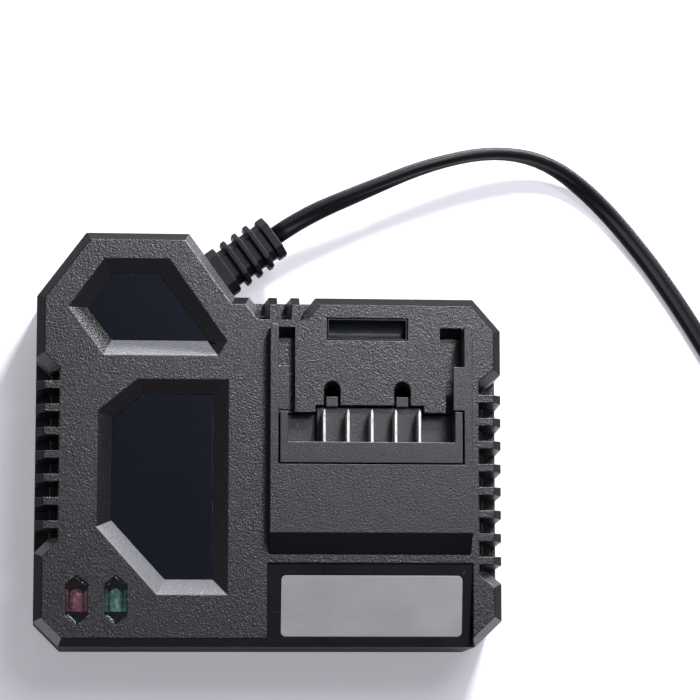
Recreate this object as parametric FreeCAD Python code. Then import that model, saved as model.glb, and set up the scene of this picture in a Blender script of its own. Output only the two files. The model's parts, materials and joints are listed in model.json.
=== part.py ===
import FreeCAD, Part
import math
import os

# Mains charger for slide-in tool batteries, in millimetres.
# X runs to the right and Y to the back as the user looks at the charger, and Z is up.
# The origin is on the table under the middle of the case.

Vector = FreeCAD.Vector
UP = Vector(0, 0, 1)
WHOLE_TURN = 2 * math.pi

# Case heights
FOOT_HEIGHT = 1.5
SPLIT_Z = 20.0
BEVEL_Z = 39.2
DECK_Z = 44.0
RAIL_Z = 50.5
WALL = 2.2
DECK_UNDER = DECK_Z - WALL
FLOOR_TOP = FOOT_HEIGHT + WALL

# Case plan, measured at the foot of the rim bevel
HALF_X = 75.0
HALF_Y = 66.6
BACK_Y = 46.0
BEVEL_OUT = 2.8
DRAFT_OUT = 1.2
VENT_DEPTH = 4.9
SHELF_DEPTH = VENT_DEPTH + BEVEL_OUT
SHELF_Z = 28.0
CABLE_CORNER = (Vector(-26.2, HALF_Y, 0), Vector(-11.3, BACK_Y, 0))

# Ends of the vent recesses along each side, and how far their flanks run along it
RIGHT_VENT = (-46.3, 21.4)
LEFT_VENT = (-36.9, 26.0)
BACK_VENT = (-6.7, 14.7)
RIGHT_FLANK = 0.82
LEFT_FLANK = 1.0
BACK_FLANK = 0.78

# Vent ribs
RIB = 2.6
RIB_FOOT = 4.0
RIB_PITCH = 7.45
RIGHT_RIB_FIRST = 13.15
RIGHT_RIBS = 8
LEFT_RIB_FIRST = 16.7
LEFT_RIBS = 7
BACK_RIBS = (0.9, 8.1)
SLOT_GAP = 0.2
SLOT_LOW = 22.0
SLOT_HIGH = 25.8

# Wells in the deck
WELL_DEPTH = 3.5
PLATE = 0.6
WELL_BOSS = 1.6
UPPER_WELL = [(-32.6, 57.6), (-53.4, 57.6), (-64.8, 41.9), (-53.4, 26.4), (-16.8, 26.4), (-14.0, 31.1)]
UPPER_FLOOR = [(-36.0, 53.2), (-51.2, 53.2), (-58.6, 42.0), (-50.8, 31.6), (-20.4, 31.6), (-20.0, 32.0)]
LOWER_WELL = [(-13.4, 18.7), (-42.6, 18.7), (-55.2, 8.3), (-55.2, -28.6), (-35.9, -50.1), (-13.4, -50.1)]
LOWER_FLOOR = [(-18.2, 14.2), (-40.3, 14.2), (-50.4, 6.3), (-50.4, -26.4), (-33.4, -45.1), (-18.2, -45.1)]

# Indicator windows
LENS_Y = -51.8
RED_X = -61.2
GREEN_X = -48.8
LENS_HALF_WIDTH = 3.5
LENS_HALF_SIDE = 4.9
LENS_HALF_LENGTH = 7.7
LENS_PROUD = 0.7
LAMP_RADIUS = 2.5
INDICATOR_BOARD_Z = 33.0
INDICATOR_BOARD_THICK = 1.2

# Battery bay: two rails and a plate
BAY_X = 32.1
RAIL_OUT = 32.5
RAIL_IN = 29.7
LIP_IN = 26.2
RAIL_BACK = 36.3
LIP_BACK = 22.7
LIP_THICK = 2.5
PLATE_FRONT = -30.6
SLOPE_FRONT = -37.3
GROOVE_FLOOR = 38.5
GROOVE_BACK = 33.0
RAMP_BACK = 36.0
TONGUE_LEFT = 8.0
TONGUE_RIGHT = 56.6
ENTRY_RIGHT = 54.8
ENTRY_FRONT = 19.6

# Terminal holder and blades
HOLDER_HALF = 29.3
HOLDER_BACK = 8.2
HOLDER_FRONT = -8.3
HOLDER_BAR = 2.6
HOLDER_POCKET_FRONT = -1.6
HOLDER_FLOOR = 37.4
HOLDER_UNDER = 35.4
BLOCK_HALF = 17.0
BLOCK_BACK = 10.3
BLOCK_TOP = 41.0
FIT_GAP = 0.35
TAB_X = (19.9, 42.6)
TAB_HALF = 2.0
TAB_BACK = 13.6
NOTCH_HALF = 2.55
NOTCH_FOOT = 0.95
NOTCH_SCOOP_DEPTH = 3.0
NOTCH_HOLE_BACK = 15.9
BLADES = 5
BLADE_PITCH = 7.65
BLADE_THICK = 0.9
BLADE_LOW = 41.3
BLADE_HIGH = 49.6
BLADE_TIP = 8.9
BLADE_SHOULDER = 7.7
BLADE_ROOT = -5.6
TAIL_WIDTH = 2.6

# Latch pocket
LATCH_X = (18.3, 44.3)
LATCH_Y = (31.8, 38.9)
LATCH_DEPTH = 6.4
LATCH_WALL = 1.0

# Sloping label panel and its plate
PANEL_X = (-0.7, 65.2)
PANEL_BACK = -39.9
PANEL_BACK_Z = 43.3
PANEL_SLOPE = math.atan2(PANEL_BACK_Z - BEVEL_Z, HALF_Y + PANEL_BACK)
NAMEPLATE_SIZE = (58.2, 19.6)
NAMEPLATE_THICK = 0.6
NAMEPLATE_SUNK = 0.35
NAMEPLATE_CORNER = 1.6
NAMEPLATE_X = 32.85
NAMEPLATE_DOWN = 13.6

# Cord strain relief, square to the bevelled corner of the case
RELIEF_Z = SPLIT_Z
RELIEF_ALONG_CORNER = 2.0
RELIEF_WIDTH = 16.5
RELIEF_HEIGHT = 12.5
RELIEF_CHAMFER = 3.0
RELIEF_CORE = (13.0, 9.0)
RELIEF_NECK = (12.0, 8.0)
RELIEF_BLOCK = (0.9, 5.3)
RELIEF_RIBS = ((8.0, 9.8), (12.5, 14.3), (17.0, 18.8))
RELIEF_FLANGE = (21.6, 24.6)
RELIEF_FLANGE_WIDTH = 14.9
RELIEF_COLLAR = (-5.6, -2.2)

# Mains cord
CORD = 6.2
CORD_RADIUS = CORD / 2
ON_TABLE = CORD_RADIUS
SLEEVE_GAP = 0.05
COIL_CENTRE = Vector(203.0, 32.6, 0)
COIL_OUTER = 43.5
COIL_PITCH = 6.65
COIL_LAYER_TURNS = 2.75
COIL_CLIMB_TURNS = 0.5
COIL_ENTRY = math.radians(210.7)
COIL_APPROACH = 20.0
COIL_LEVEL_END = 16.0
EXIT_RUN = 11.4
ROUTE_MIDDLE = [
    (32.0, 84.7, 20.5), (53.5, 94.0, 20.6), (75.5, 99.6, 17.6), (95.2, 98.2, 10.4),
    (112.6, 86.8, 4.0), (129.0, 68.2, ON_TABLE), (141.6, 50.2, ON_TABLE),
]
ROUTE_SHARE = 0.45

# Mains plug with two round pins
PLUG_LENGTH = 36.0
PLUG_WIDTH = 35.3
PLUG_THICK = 13.7
PLUG_AXIS_Z = PLUG_THICK / 2
PLUG_REACH = 46.0
PIN_RADIUS = 2.0
PIN_LENGTH = 19.0
PIN_SPACING = 19.0

# Circuit board
BOARD_Z = 12.0
BOARD_THICK = 1.6
BOARD_TOP = BOARD_Z + BOARD_THICK
BOARD_X = (-64.0, 61.0)
BOARD_Y = (-57.0, 39.0)
CASE_POSTS = [(-58.0, 52.5), (59.5, 35.5), (62.0, -55.0), (-33.0, -58.5)]
BOARD_POSTS = [(-58.0, 34.0), (40.0, 33.0), (54.0, -47.0), (-58.0, -34.0)]
FEET = [(-64.0, 38.0), (64.0, 22.0), (64.0, -40.0), (-64.0, -44.0)]
FOOT_RADIUS = 5.0
FOOT_THICK = 3.0
SCREW_RADIUS = 1.5
PILOT_RADIUS = 1.25
SCREW_HEAD = (2.7, 1.8)
CASE_SCREW_SEAT = 9.0

# Screws between the mouldings, set from inside
FRAME_SCREWS = [(3.6, -25.0), (60.6, -25.0)]
FRAME_SCREW_SEAT = DECK_Z - 7.0
HOLDER_SCREWS = [(10.0, -13.0), (54.2, -13.0)]
HOLDER_EAR = 1.6
INDICATOR_SCREWS = [(-66.0, -43.5), (-43.6, -43.5)]

# Cord clamp inside the bevelled corner
CLAMP_IN = -13.0
CLAMP_HALF = 8.0
CLAMP_SEAT = SPLIT_Z - CORD_RADIUS - 1.0
CLAMP_TOP = CORD_RADIUS + 1.8
TAIL_IN = CLAMP_IN - 6.0

# Parts on the circuit board
TRANSFORMER = (0.0, -24.0)
CORE_SIZE = (30.0, 12.0, 19.0)
CORE_LIFT = 1.6
CORE_LEG = 8.6
CORE_SIDE = 4.6
CORE_WINDOW = (4.8, 14.2)
BOBBIN_REACH = 5.6
CHOKE = (-50.0, 12.0)
FUSE_Y = 25.0
FUSE_CENTRE_Z = BOARD_TOP + 4.0
BRIDGE = (-27.0, 12.0)
LEG_PITCH = 2.54


def box(x_range, y_range, z_range):
    """A block from its three pairs of limits."""
    size = [high - low for low, high in (x_range, y_range, z_range)]
    return Part.makeBox(*size, Vector(x_range[0], y_range[0], z_range[0]))


def rod(x, y, z_range, radius):
    """An upright cylinder."""
    return Part.makeCylinder(radius, z_range[1] - z_range[0], Vector(x, y, z_range[0]))


def outline_wire(points, z):
    """A closed polygon at one height."""
    corners = [Vector(x, y, z) for x, y in points]
    return Part.makePolygon(corners + corners[:1])


def prism(points, z_range):
    """A polygon raised to an upright solid."""
    face = Part.Face(outline_wire(points, z_range[0]))
    return face.extrude(UP * (z_range[1] - z_range[0]))


def taper(low_points, low_z, high_points, high_z):
    """A solid with flat faces between two polygons at two heights."""
    wires = [outline_wire(low_points, low_z), outline_wire(high_points, high_z)]
    return Part.makeLoft(wires, True, True)


def inset(points, distance):
    """The polygon with each side moved inwards, or outwards where distance is negative."""
    moved = []
    count = len(points)
    for i in range(count):
        before, here, after = (Vector(*points[j % count], 0) for j in (i - 1, i, i + 1))
        first = (here - before).normalize()
        second = (after - here).normalize()
        first_in = UP.cross(first)
        second_in = UP.cross(second)
        reach = distance / (1 + first_in.dot(second_in))
        corner = here + (first_in + second_in) * reach
        moved.append((corner.x, corner.y))
    return moved


def slab(profile, x_range):
    """A profile of (y, z) points drawn out along X."""
    corners = [Vector(x_range[0], y, z) for y, z in profile]
    face = Part.Face(Part.makePolygon(corners + corners[:1]))
    return face.extrude(Vector(x_range[1] - x_range[0], 0, 0))


def fused(shapes):
    """All the shapes as one clean solid."""
    whole = shapes[0]
    if len(shapes) > 1:
        whole = whole.multiFuse(shapes[1:])
    return whole.removeSplitter()


def recess_ends(limits, rate, recess):
    """Where a vent recess starts and ends along its side, at the rim and at its bottom."""
    low, high = limits
    return low, low + recess * rate, high - recess * rate, high


def plan(recess=0.0):
    """The case's plan, with each vent recess cut back by that much."""
    right = recess_ends(RIGHT_VENT, RIGHT_FLANK, recess)
    left = recess_ends(LEFT_VENT, LEFT_FLANK, recess)
    back = recess_ends(BACK_VENT, BACK_FLANK, recess)
    front_right = [(-67.0, -HALF_Y), (66.3, -HALF_Y), (HALF_X, -58.2)]
    back_right = [(HALF_X, 35.7), (66.0, BACK_Y)]
    back_left = [(CABLE_CORNER[1].x, BACK_Y), (CABLE_CORNER[0].x, HALF_Y), (-59.4, HALF_Y), (-HALF_X, 45.7)]
    front_left = [(-HALF_X, -58.6)]
    if not recess:
        return front_right + back_right + back_left + front_left
    deep_x, deep_y = HALF_X - recess, BACK_Y - recess
    right_side = [(HALF_X, right[0]), (deep_x, right[1]), (deep_x, right[2]), (HALF_X, right[3])]
    back_side = [(back[3], BACK_Y), (back[2], deep_y), (back[1], deep_y), (back[0], BACK_Y)]
    left_side = [(-HALF_X, left[3]), (-deep_x, left[2]), (-deep_x, left[1]), (-HALF_X, left[0])]
    return front_right + right_side + back_right + back_side + back_left + left_side + front_left


def draft(z):
    """How far the wall stands outside the plan at a height."""
    return DRAFT_OUT * (BEVEL_Z - z) / (BEVEL_Z - FOOT_HEIGHT)


def rib_profile():
    """A vent rib's outline, as (distance out from the case's middle, z), with the rim bevel on its tip."""
    root = HALF_X - SHELF_DEPTH - 1.0
    foot = HALF_X + draft(SPLIT_Z)
    return [(root, SPLIT_Z), (foot, SPLIT_Z), (HALF_X, BEVEL_Z), (HALF_X - BEVEL_OUT, DECK_Z), (root, DECK_Z)]


def vent_rib(turn, across, edge):
    """A rib on one side. It is made pointing along X, thicker at its foot, then turned and set in place."""
    profile = [Vector(out - HALF_X, 0, z) for out, z in rib_profile()]
    plate = Part.Face(Part.makePolygon(profile + profile[:1]))
    plate = plate.extrude(Vector(0, RIB_FOOT, 0))
    plate.translate(Vector(0, -RIB_FOOT / 2, 0))
    reach = (-SHELF_DEPTH - 2.0, 2.0)
    wedge = [(-RIB_FOOT / 2, SPLIT_Z), (RIB_FOOT / 2, SPLIT_Z), (RIB / 2, DECK_Z), (-RIB / 2, DECK_Z)]
    rib = plate.common(slab(wedge, reach))
    rib.rotate(Vector(), UP, turn)
    rib.translate(Vector(edge, across, 0) if turn % 180 == 0 else Vector(across, edge, 0))
    return rib


def vent_ribs():
    """All the ribs of the right, left and back recesses."""
    ribs = [vent_rib(0, RIGHT_RIB_FIRST - i * RIB_PITCH, HALF_X) for i in range(RIGHT_RIBS)]
    ribs += [vent_rib(180, LEFT_RIB_FIRST - i * RIB_PITCH, -HALF_X) for i in range(LEFT_RIBS)]
    ribs += [vent_rib(90, x, BACK_Y) for x in BACK_RIBS]
    return ribs


def vent_slots():
    """The air slots through the recessed walls, one between each pair of ribs."""
    low_high = (SLOT_LOW, SLOT_HIGH)
    half = (RIB_PITCH - RIB_FOOT) / 2 - SLOT_GAP
    through = (HALF_X - VENT_DEPTH - 2 * WALL, HALF_X - VENT_DEPTH + 1.0)
    mirrored = (-through[1], -through[0])
    slots = []
    for i in range(RIGHT_RIBS - 1):
        y = RIGHT_RIB_FIRST - (i + 0.5) * RIB_PITCH
        slots.append(box(through, (y - half, y + half), low_high))
    for i in range(LEFT_RIBS - 1):
        y = LEFT_RIB_FIRST - (i + 0.5) * RIB_PITCH
        slots.append(box(mirrored, (y - half, y + half), low_high))
    return slots


def shelf_cuts():
    """The blocks that cut the vent recesses back above their shelves."""
    right = recess_ends(RIGHT_VENT, RIGHT_FLANK, VENT_DEPTH)[1:3]
    left = recess_ends(LEFT_VENT, LEFT_FLANK, VENT_DEPTH)[1:3]
    back = recess_ends(BACK_VENT, BACK_FLANK, VENT_DEPTH)[1:3]
    tall = (SHELF_Z, DECK_Z + 1)
    deep = HALF_X - SHELF_DEPTH
    return [
        box((deep, HALF_X + 5), right, tall),
        box((-HALF_X - 5, -deep), left, tall),
        box(back, (BACK_Y - SHELF_DEPTH, BACK_Y + 5), tall),
    ]


def case_outside():
    """The upper case's outside as a full block, with its rim bevel, vent recesses and shelves."""
    recessed = plan(VENT_DEPTH)
    walls = taper(inset(recessed, -draft(SPLIT_Z)), SPLIT_Z, recessed, BEVEL_Z)
    rim = taper(recessed, BEVEL_Z, inset(recessed, BEVEL_OUT), DECK_Z)
    body = fused([walls, rim])
    return body.cut(Part.makeCompound(shelf_cuts()))


def case_hollow():
    """The space inside the upper case."""
    low = prism(inset(plan(VENT_DEPTH), WALL), (SPLIT_Z - 1, SHELF_Z - WALL))
    narrow = inset(plan(SHELF_DEPTH), WALL)
    bevel_inside = 38.0
    high = prism(narrow, (SHELF_Z - WALL - 1, bevel_inside))
    top = taper(narrow, bevel_inside, inset(plan(SHELF_DEPTH), WALL + 2.0), DECK_UNDER)
    return fused([low, high, top])


def holder_plan(gap):
    """The terminal holder's outline with its raised back step, larger all round by gap."""
    left, right = BAY_X - HOLDER_HALF - gap, BAY_X + HOLDER_HALF + gap
    step_left, step_right = BAY_X - BLOCK_HALF - gap, BAY_X + BLOCK_HALF + gap
    front, back, step_back = HOLDER_FRONT - gap, HOLDER_BACK + gap, BLOCK_BACK + gap
    return [
        (left, front), (right, front), (right, back), (step_right, back),
        (step_right, step_back), (step_left, step_back), (step_left, back), (left, back),
    ]


def tab_notches():
    """The two deck notches for the holder's tabs: a through hole and a half-round slope behind it."""
    cuts = []
    for x in TAB_X:
        sides = (x - NOTCH_HALF, x + NOTCH_HALF)
        cuts.append(box(sides, (BLOCK_BACK, NOTCH_HOLE_BACK), (DECK_UNDER - 4, DECK_Z + 1)))
        place = Vector(x, NOTCH_HOLE_BACK, DECK_Z + 0.01)
        cuts.append(Part.makeCone(NOTCH_HALF, NOTCH_FOOT, NOTCH_SCOOP_DEPTH, place, Vector(0, 0, -1)))
    return cuts


def groove_cuts():
    """The two grooves that the battery's rails slide in, each with a ramp at its back end."""
    left, right = BAY_X - RAIL_IN, BAY_X + RAIL_IN
    above = DECK_Z + 1
    ramp = [(GROOVE_BACK, GROOVE_FLOOR), (RAMP_BACK, DECK_Z), (RAMP_BACK, above)]
    whole = [(HOLDER_BACK - 2, above), (HOLDER_BACK - 2, GROOVE_FLOOR)] + ramp
    entry = [(ENTRY_FRONT, above), (ENTRY_FRONT, GROOVE_FLOOR)] + ramp
    return [
        slab(whole, (left, TONGUE_LEFT)),
        slab(whole, (TONGUE_RIGHT, right)),
        slab(entry, (ENTRY_RIGHT, right)),
    ]


def lens_plan(x, grow=0.0):
    """An indicator window: a hexagon drawn out along Y, pointed at both ends."""
    half, side, end = LENS_HALF_WIDTH + grow, LENS_HALF_SIDE + grow / 2, LENS_HALF_LENGTH + grow
    return [
        (x + half, LENS_Y - side), (x + half, LENS_Y + side), (x, LENS_Y + end),
        (x - half, LENS_Y + side), (x - half, LENS_Y - side), (x, LENS_Y - end),
    ]


def panel_wedge(thickness, x_range):
    """A wedge under the label panel's sloping face, or above it where thickness is negative."""
    front = -HALF_Y - 4.0
    front_z = BEVEL_Z - 4.0 * math.tan(PANEL_SLOPE)
    step = thickness / math.cos(PANEL_SLOPE)
    profile = [
        (PANEL_BACK, PANEL_BACK_Z), (front, front_z),
        (front, front_z - step), (PANEL_BACK, PANEL_BACK_Z - step),
    ]
    return slab(profile, x_range)


def relief_frame(shape):
    """Takes a shape made along +X at the origin to the strain relief's place on the bevelled corner."""
    start, end = CABLE_CORNER
    along = (end - start).normalize()
    angle = math.degrees(math.atan2(along.y, along.x)) + 90
    place = (start + end) * 0.5 + along * RELIEF_ALONG_CORNER
    shape.rotate(Vector(), UP, angle)
    shape.translate(Vector(place.x, place.y, RELIEF_Z))
    return shape


def relief_point(out):
    """A point on the strain relief's axis, that far outside the case corner, and the axis's direction."""
    start, end = CABLE_CORNER
    along = (end - start).normalize()
    away = Vector(-along.y, along.x, 0)
    place = (start + end) * 0.5 + along * RELIEF_ALONG_CORNER + away * out
    return Vector(place.x, place.y, RELIEF_Z), away


def eight_sided(width, height, chamfer, out_range):
    """A bar along X with bevelled long edges."""
    w, h, c = width / 2, height / 2, chamfer
    corners = [
        (w - c, -h), (w, c - h), (w, h - c), (w - c, h),
        (c - w, h), (-w, h - c), (-w, c - h), (c - w, -h),
    ]
    profile = [Vector(out_range[0], y, z) for y, z in corners]
    face = Part.Face(Part.makePolygon(profile + profile[:1]))
    return face.extrude(Vector(out_range[1] - out_range[0], 0, 0))


def relief_neck_hole():
    """The hole through the case corner for the strain relief's neck, half in each case."""
    grow = 0.2
    return relief_frame(eight_sided(RELIEF_NECK[0] + grow, RELIEF_NECK[1] + grow, 2.0, (-4.0, 3.0)))


def latch_space(grow, z_range):
    """The latch pocket's space in the deck, larger all round by grow."""
    x_range = (LATCH_X[0] - grow, LATCH_X[1] + grow)
    y_range = (LATCH_Y[0] - grow, LATCH_Y[1] + grow)
    return box(x_range, y_range, z_range)


def holder_ear(x, y, grow):
    """A screw ear on the front of the terminal holder."""
    half = 3.0 + grow
    heights = (HOLDER_UNDER - grow, HOLDER_UNDER + HOLDER_EAR + grow / 2)
    return box((x - half, x + half), (y - half, HOLDER_FRONT + 1), heights)


def upper_case():
    """The upper shell with its deck, wells, ribs, grooves and bosses."""
    outside = case_outside()
    shell = outside.cut(case_hollow())
    left, right = BAY_X - RAIL_OUT, BAY_X + RAIL_OUT
    groove_span = (HOLDER_FRONT - 2, RAMP_BACK + 1)
    groove_heights = (GROOVE_FLOOR - WALL, DECK_Z - 0.5)
    backing = [
        prism(inset(UPPER_WELL, -WELL_BOSS), (DECK_Z - WELL_DEPTH - PLATE - 2.0, DECK_Z - 0.5)),
        prism(inset(LOWER_WELL, -WELL_BOSS), (DECK_Z - WELL_DEPTH - PLATE - 2.0, DECK_Z - 0.5)),
        box((left + 1, TONGUE_LEFT + 2), groove_span, groove_heights),
        box((ENTRY_RIGHT - 2, right - 1), groove_span, groove_heights),
        prism(holder_plan(FIT_GAP + 2.0), (HOLDER_UNDER, DECK_Z - 0.5)),
        latch_space(2.0, (DECK_Z - LATCH_DEPTH - 1.4, DECK_Z - 0.5)),
        panel_wedge(WALL, PANEL_X).common(prism(inset(plan(), 1.0), (SPLIT_Z, DECK_Z))),
    ]
    bosses = [rod(x, y, (SPLIT_Z, DECK_UNDER), 3.6) for x, y in CASE_POSTS]
    bosses += [rod(x, y, (FRAME_SCREW_SEAT, DECK_UNDER), 2.6) for x, y in FRAME_SCREWS]
    bosses += [rod(x, y, (HOLDER_UNDER + HOLDER_EAR, DECK_UNDER), 2.6) for x, y in HOLDER_SCREWS]
    indicator_seat = INDICATOR_BOARD_Z + INDICATOR_BOARD_THICK
    bosses += [rod(x, y, (indicator_seat, DECK_UNDER), 2.4) for x, y in INDICATOR_SCREWS]
    kept = [piece.common(outside) for piece in backing + bosses]
    shell = fused([shell] + kept + vent_ribs())
    cuts = [
        taper(UPPER_FLOOR, DECK_Z - WELL_DEPTH, UPPER_WELL, DECK_Z),
        taper(LOWER_FLOOR, DECK_Z - WELL_DEPTH, LOWER_WELL, DECK_Z),
        prism(UPPER_FLOOR, (DECK_Z - WELL_DEPTH - PLATE, DECK_Z - 1)),
        prism(LOWER_FLOOR, (DECK_Z - WELL_DEPTH - PLATE, DECK_Z - 1)),
        prism(lens_plan(RED_X), (DECK_UNDER - 1, DECK_Z + 1)),
        prism(lens_plan(GREEN_X), (DECK_UNDER - 1, DECK_Z + 1)),
        prism(holder_plan(FIT_GAP), (HOLDER_UNDER - 1, DECK_Z + 1)),
        latch_space(0.0, (DECK_Z - LATCH_DEPTH, DECK_Z + 1)),
        panel_wedge(-8.0, PANEL_X),
        nameplate_block(NAMEPLATE_SUNK, 0.1),
        relief_neck_hole(),
    ]
    cuts += groove_cuts() + tab_notches() + vent_slots()
    cuts += [rod(x, y, (SPLIT_Z - 1, SPLIT_Z + 12), PILOT_RADIUS) for x, y in CASE_POSTS]
    cuts += [rod(x, y, (FRAME_SCREW_SEAT - 1, DECK_Z + 1), SCREW_RADIUS + 0.1) for x, y in FRAME_SCREWS]
    cuts += [rod(x, y, (HOLDER_UNDER, DECK_Z - 1.2), PILOT_RADIUS) for x, y in HOLDER_SCREWS]
    cuts += [rod(x, y, (indicator_seat - 1, DECK_UNDER), PILOT_RADIUS) for x, y in INDICATOR_SCREWS]
    cuts += [holder_ear(x, y, 0.2) for x, y in HOLDER_SCREWS]
    cuts.append(tongue(0.1))
    for piece in cuts:
        shell = shell.cut(piece)
    return shell.removeSplitter()


def tongue(gap):
    """The lower case's tongue, which locates the upper case inside the joint."""
    ring = plan(VENT_DEPTH)
    outer = prism(inset(ring, 1.1 - gap), (SPLIT_Z - 0.5, SPLIT_Z + 1.6 + gap))
    inner = prism(inset(ring, WALL + gap), (SPLIT_Z - 1.0, SPLIT_Z + 3.0))
    return outer.cut(inner)


def lower_case():
    """The lower shell: floor, drafted walls, the ledges under the vents, posts and foot recesses."""
    straight = plan()
    low = inset(straight, -draft(FOOT_HEIGHT))
    high = inset(straight, -draft(SPLIT_Z))
    outside = taper(low, FOOT_HEIGHT, high, SPLIT_Z)
    ledge_under = SPLIT_Z - 3.0
    hollow = prism(inset(straight, WALL), (FLOOR_TOP, ledge_under))
    mouth = prism(inset(plan(VENT_DEPTH), WALL), (ledge_under - 1, SPLIT_Z + 1))
    shell = outside.cut(hollow).cut(mouth)
    posts = [rod(x, y, (FOOT_HEIGHT, SPLIT_Z), 4.5) for x, y in CASE_POSTS]
    posts += [rod(x, y, (FOOT_HEIGHT, BOARD_Z), 3.2) for x, y in BOARD_POSTS]
    posts += [rod(x, y, (FOOT_HEIGHT, FLOOR_TOP + 1.5), FOOT_RADIUS + 1.5) for x, y in FEET]
    posts += [rod(place.x, place.y, (FOOT_HEIGHT, CLAMP_SEAT), 3.2) for place in clamp_places()]
    kept = [post.common(outside) for post in posts]
    shell = fused([shell, tongue(0.0)] + kept)
    cuts = [rod(x, y, (0, SPLIT_Z + 1), SCREW_RADIUS + 0.3) for x, y in CASE_POSTS]
    cuts += [rod(x, y, (0, CASE_SCREW_SEAT), 3.3) for x, y in CASE_POSTS]
    cuts += [rod(x, y, (BOARD_Z - 7, BOARD_Z + 1), PILOT_RADIUS) for x, y in BOARD_POSTS]
    cuts += [rod(x, y, (0, FOOT_THICK), FOOT_RADIUS) for x, y in FEET]
    clamp_pilot = (CLAMP_SEAT - 8, CLAMP_SEAT + 1)
    cuts += [rod(place.x, place.y, clamp_pilot, PILOT_RADIUS) for place in clamp_places()]
    cuts.append(relief_neck_hole())
    return shell.cut(Part.makeCompound(cuts)).removeSplitter()


def clamp_places():
    """The two screw places of the cord clamp, one each side of the cord inside the corner."""
    middle, away = relief_point(CLAMP_IN)
    side = UP.cross(away)
    return [middle + side * CLAMP_HALF, middle - side * CLAMP_HALF]


def cord_clamp():
    """The bar that holds the cord down inside the case."""
    width = (CLAMP_IN - 3.5, CLAMP_IN + 3.5)
    bar = box(width, (-CLAMP_HALF - 3, CLAMP_HALF + 3), (CLAMP_SEAT - SPLIT_Z, CLAMP_TOP))
    channel = Part.makeCylinder(CORD_RADIUS + SLEEVE_GAP, 20, Vector(CLAMP_IN - 10, 0, 0), Vector(1, 0, 0))
    holes = [
        Part.makeCylinder(SCREW_RADIUS + 0.1, 20, Vector(CLAMP_IN, side * CLAMP_HALF, -10))
        for side in (-1, 1)
    ]
    return relief_frame(bar.cut(Part.makeCompound([channel] + holes)))


def cord_clamp_screws():
    """The two screws of the cord clamp."""
    top = SPLIT_Z + CLAMP_TOP
    return Part.makeCompound([screw(place.x, place.y, top, -1, 16.0) for place in clamp_places()])


def screw(x, y, seat, way, length):
    """A screw whose head sits on seat, with its shank pointing up or down as way says."""
    head_radius, head_height = SCREW_HEAD
    direction = Vector(0, 0, way)
    shank = Part.makeCylinder(PILOT_RADIUS, length, Vector(x, y, seat), direction)
    head = Part.makeCylinder(head_radius, head_height, Vector(x, y, seat), direction * -1)
    face = seat - way * head_height
    slot = box((x - head_radius, x + head_radius), (y - 0.35, y + 0.35), sorted((face, face + way * 0.8)))
    return shank.fuse(head).cut(slot).removeSplitter()


def screws(places, seat, way, length):
    """Alike screws at several places, on one seat height."""
    return Part.makeCompound([screw(x, y, seat, way, length) for x, y in places])


def battery_rail_frame():
    """The U-shaped moulding: a hollow plate at the front and a rail with a lip on each side."""
    left, right = BAY_X - RAIL_OUT, BAY_X + RAIL_OUT
    inner_front = HOLDER_FRONT - FIT_GAP
    plate = slab(
        [(inner_front, DECK_Z), (inner_front, RAIL_Z), (PLATE_FRONT, RAIL_Z), (SLOPE_FRONT, DECK_Z)],
        (left, right),
    )
    slope = (PLATE_FRONT - SLOPE_FRONT) / (RAIL_Z - DECK_Z)
    skin = WALL * math.hypot(1, slope)
    ceiling, floor = RAIL_Z - WALL, DECK_Z - 1
    high_front = PLATE_FRONT - (RAIL_Z - ceiling) * slope + skin
    low_front = PLATE_FRONT - (RAIL_Z - floor) * slope + skin
    hollow_back = inner_front - WALL
    hollow = slab(
        [(hollow_back, floor), (hollow_back, ceiling), (high_front, ceiling), (low_front, floor)],
        (left + WALL, right - WALL),
    )
    plate = plate.cut(hollow)
    rails = []
    for side in (-1, 1):
        edges = sorted((BAY_X + side * RAIL_OUT, BAY_X + side * RAIL_IN))
        lips = sorted((BAY_X + side * RAIL_IN, BAY_X + side * LIP_IN))
        rail = box(edges, (inner_front, RAIL_BACK), (DECK_Z, RAIL_Z))
        nose = [edge for edge in rail.Edges if edge_is_upright_at(edge, RAIL_BACK)]
        rails.append(rail.makeFillet(1.35, nose))
        rails.append(box(lips, (HOLDER_BACK + FIT_GAP, LIP_BACK), (RAIL_Z - LIP_THICK, RAIL_Z)))
    bosses = [rod(x, y, (DECK_Z, RAIL_Z - 1), 2.6) for x, y in FRAME_SCREWS]
    whole = fused([plate] + rails + bosses)
    pilots = [rod(x, y, (DECK_Z - 1, RAIL_Z - 1.4), PILOT_RADIUS) for x, y in FRAME_SCREWS]
    return whole.cut(Part.makeCompound(pilots)).removeSplitter()


def edge_is_upright_at(edge, y):
    """Whether an edge is upright and lies at that y."""
    ends = [vertex.Point for vertex in edge.Vertexes]
    upright = abs(ends[0].x - ends[1].x) < 0.01 and abs(ends[0].y - ends[1].y) < 0.01
    return upright and abs(ends[0].y - y) < 0.01


def blade_x(index):
    """The middle of a terminal blade across the bay."""
    return BAY_X + 0.2 + (index - (BLADES - 1) / 2) * BLADE_PITCH


def blade(index, grow=0.0):
    """A blade: a pointed plate that stands free over the block, and a tail down to the circuit board."""
    x = blade_x(index)
    half = BLADE_THICK / 2 + grow
    flat = [
        (x - half, BLADE_ROOT - grow), (x + half, BLADE_ROOT - grow), (x + half, BLADE_SHOULDER),
        (x + 0.15, BLADE_TIP), (x - 0.15, BLADE_TIP), (x - half, BLADE_SHOULDER),
    ]
    top = prism(flat, (BLADE_LOW - grow, BLADE_HIGH + grow))
    tail_span = (BLADE_ROOT - grow, BLADE_ROOT + TAIL_WIDTH + grow)
    tail = box((x - half, x + half), tail_span, (BOARD_Z - 1.2, BLADE_LOW + 1))
    return fused([top, tail])


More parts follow.
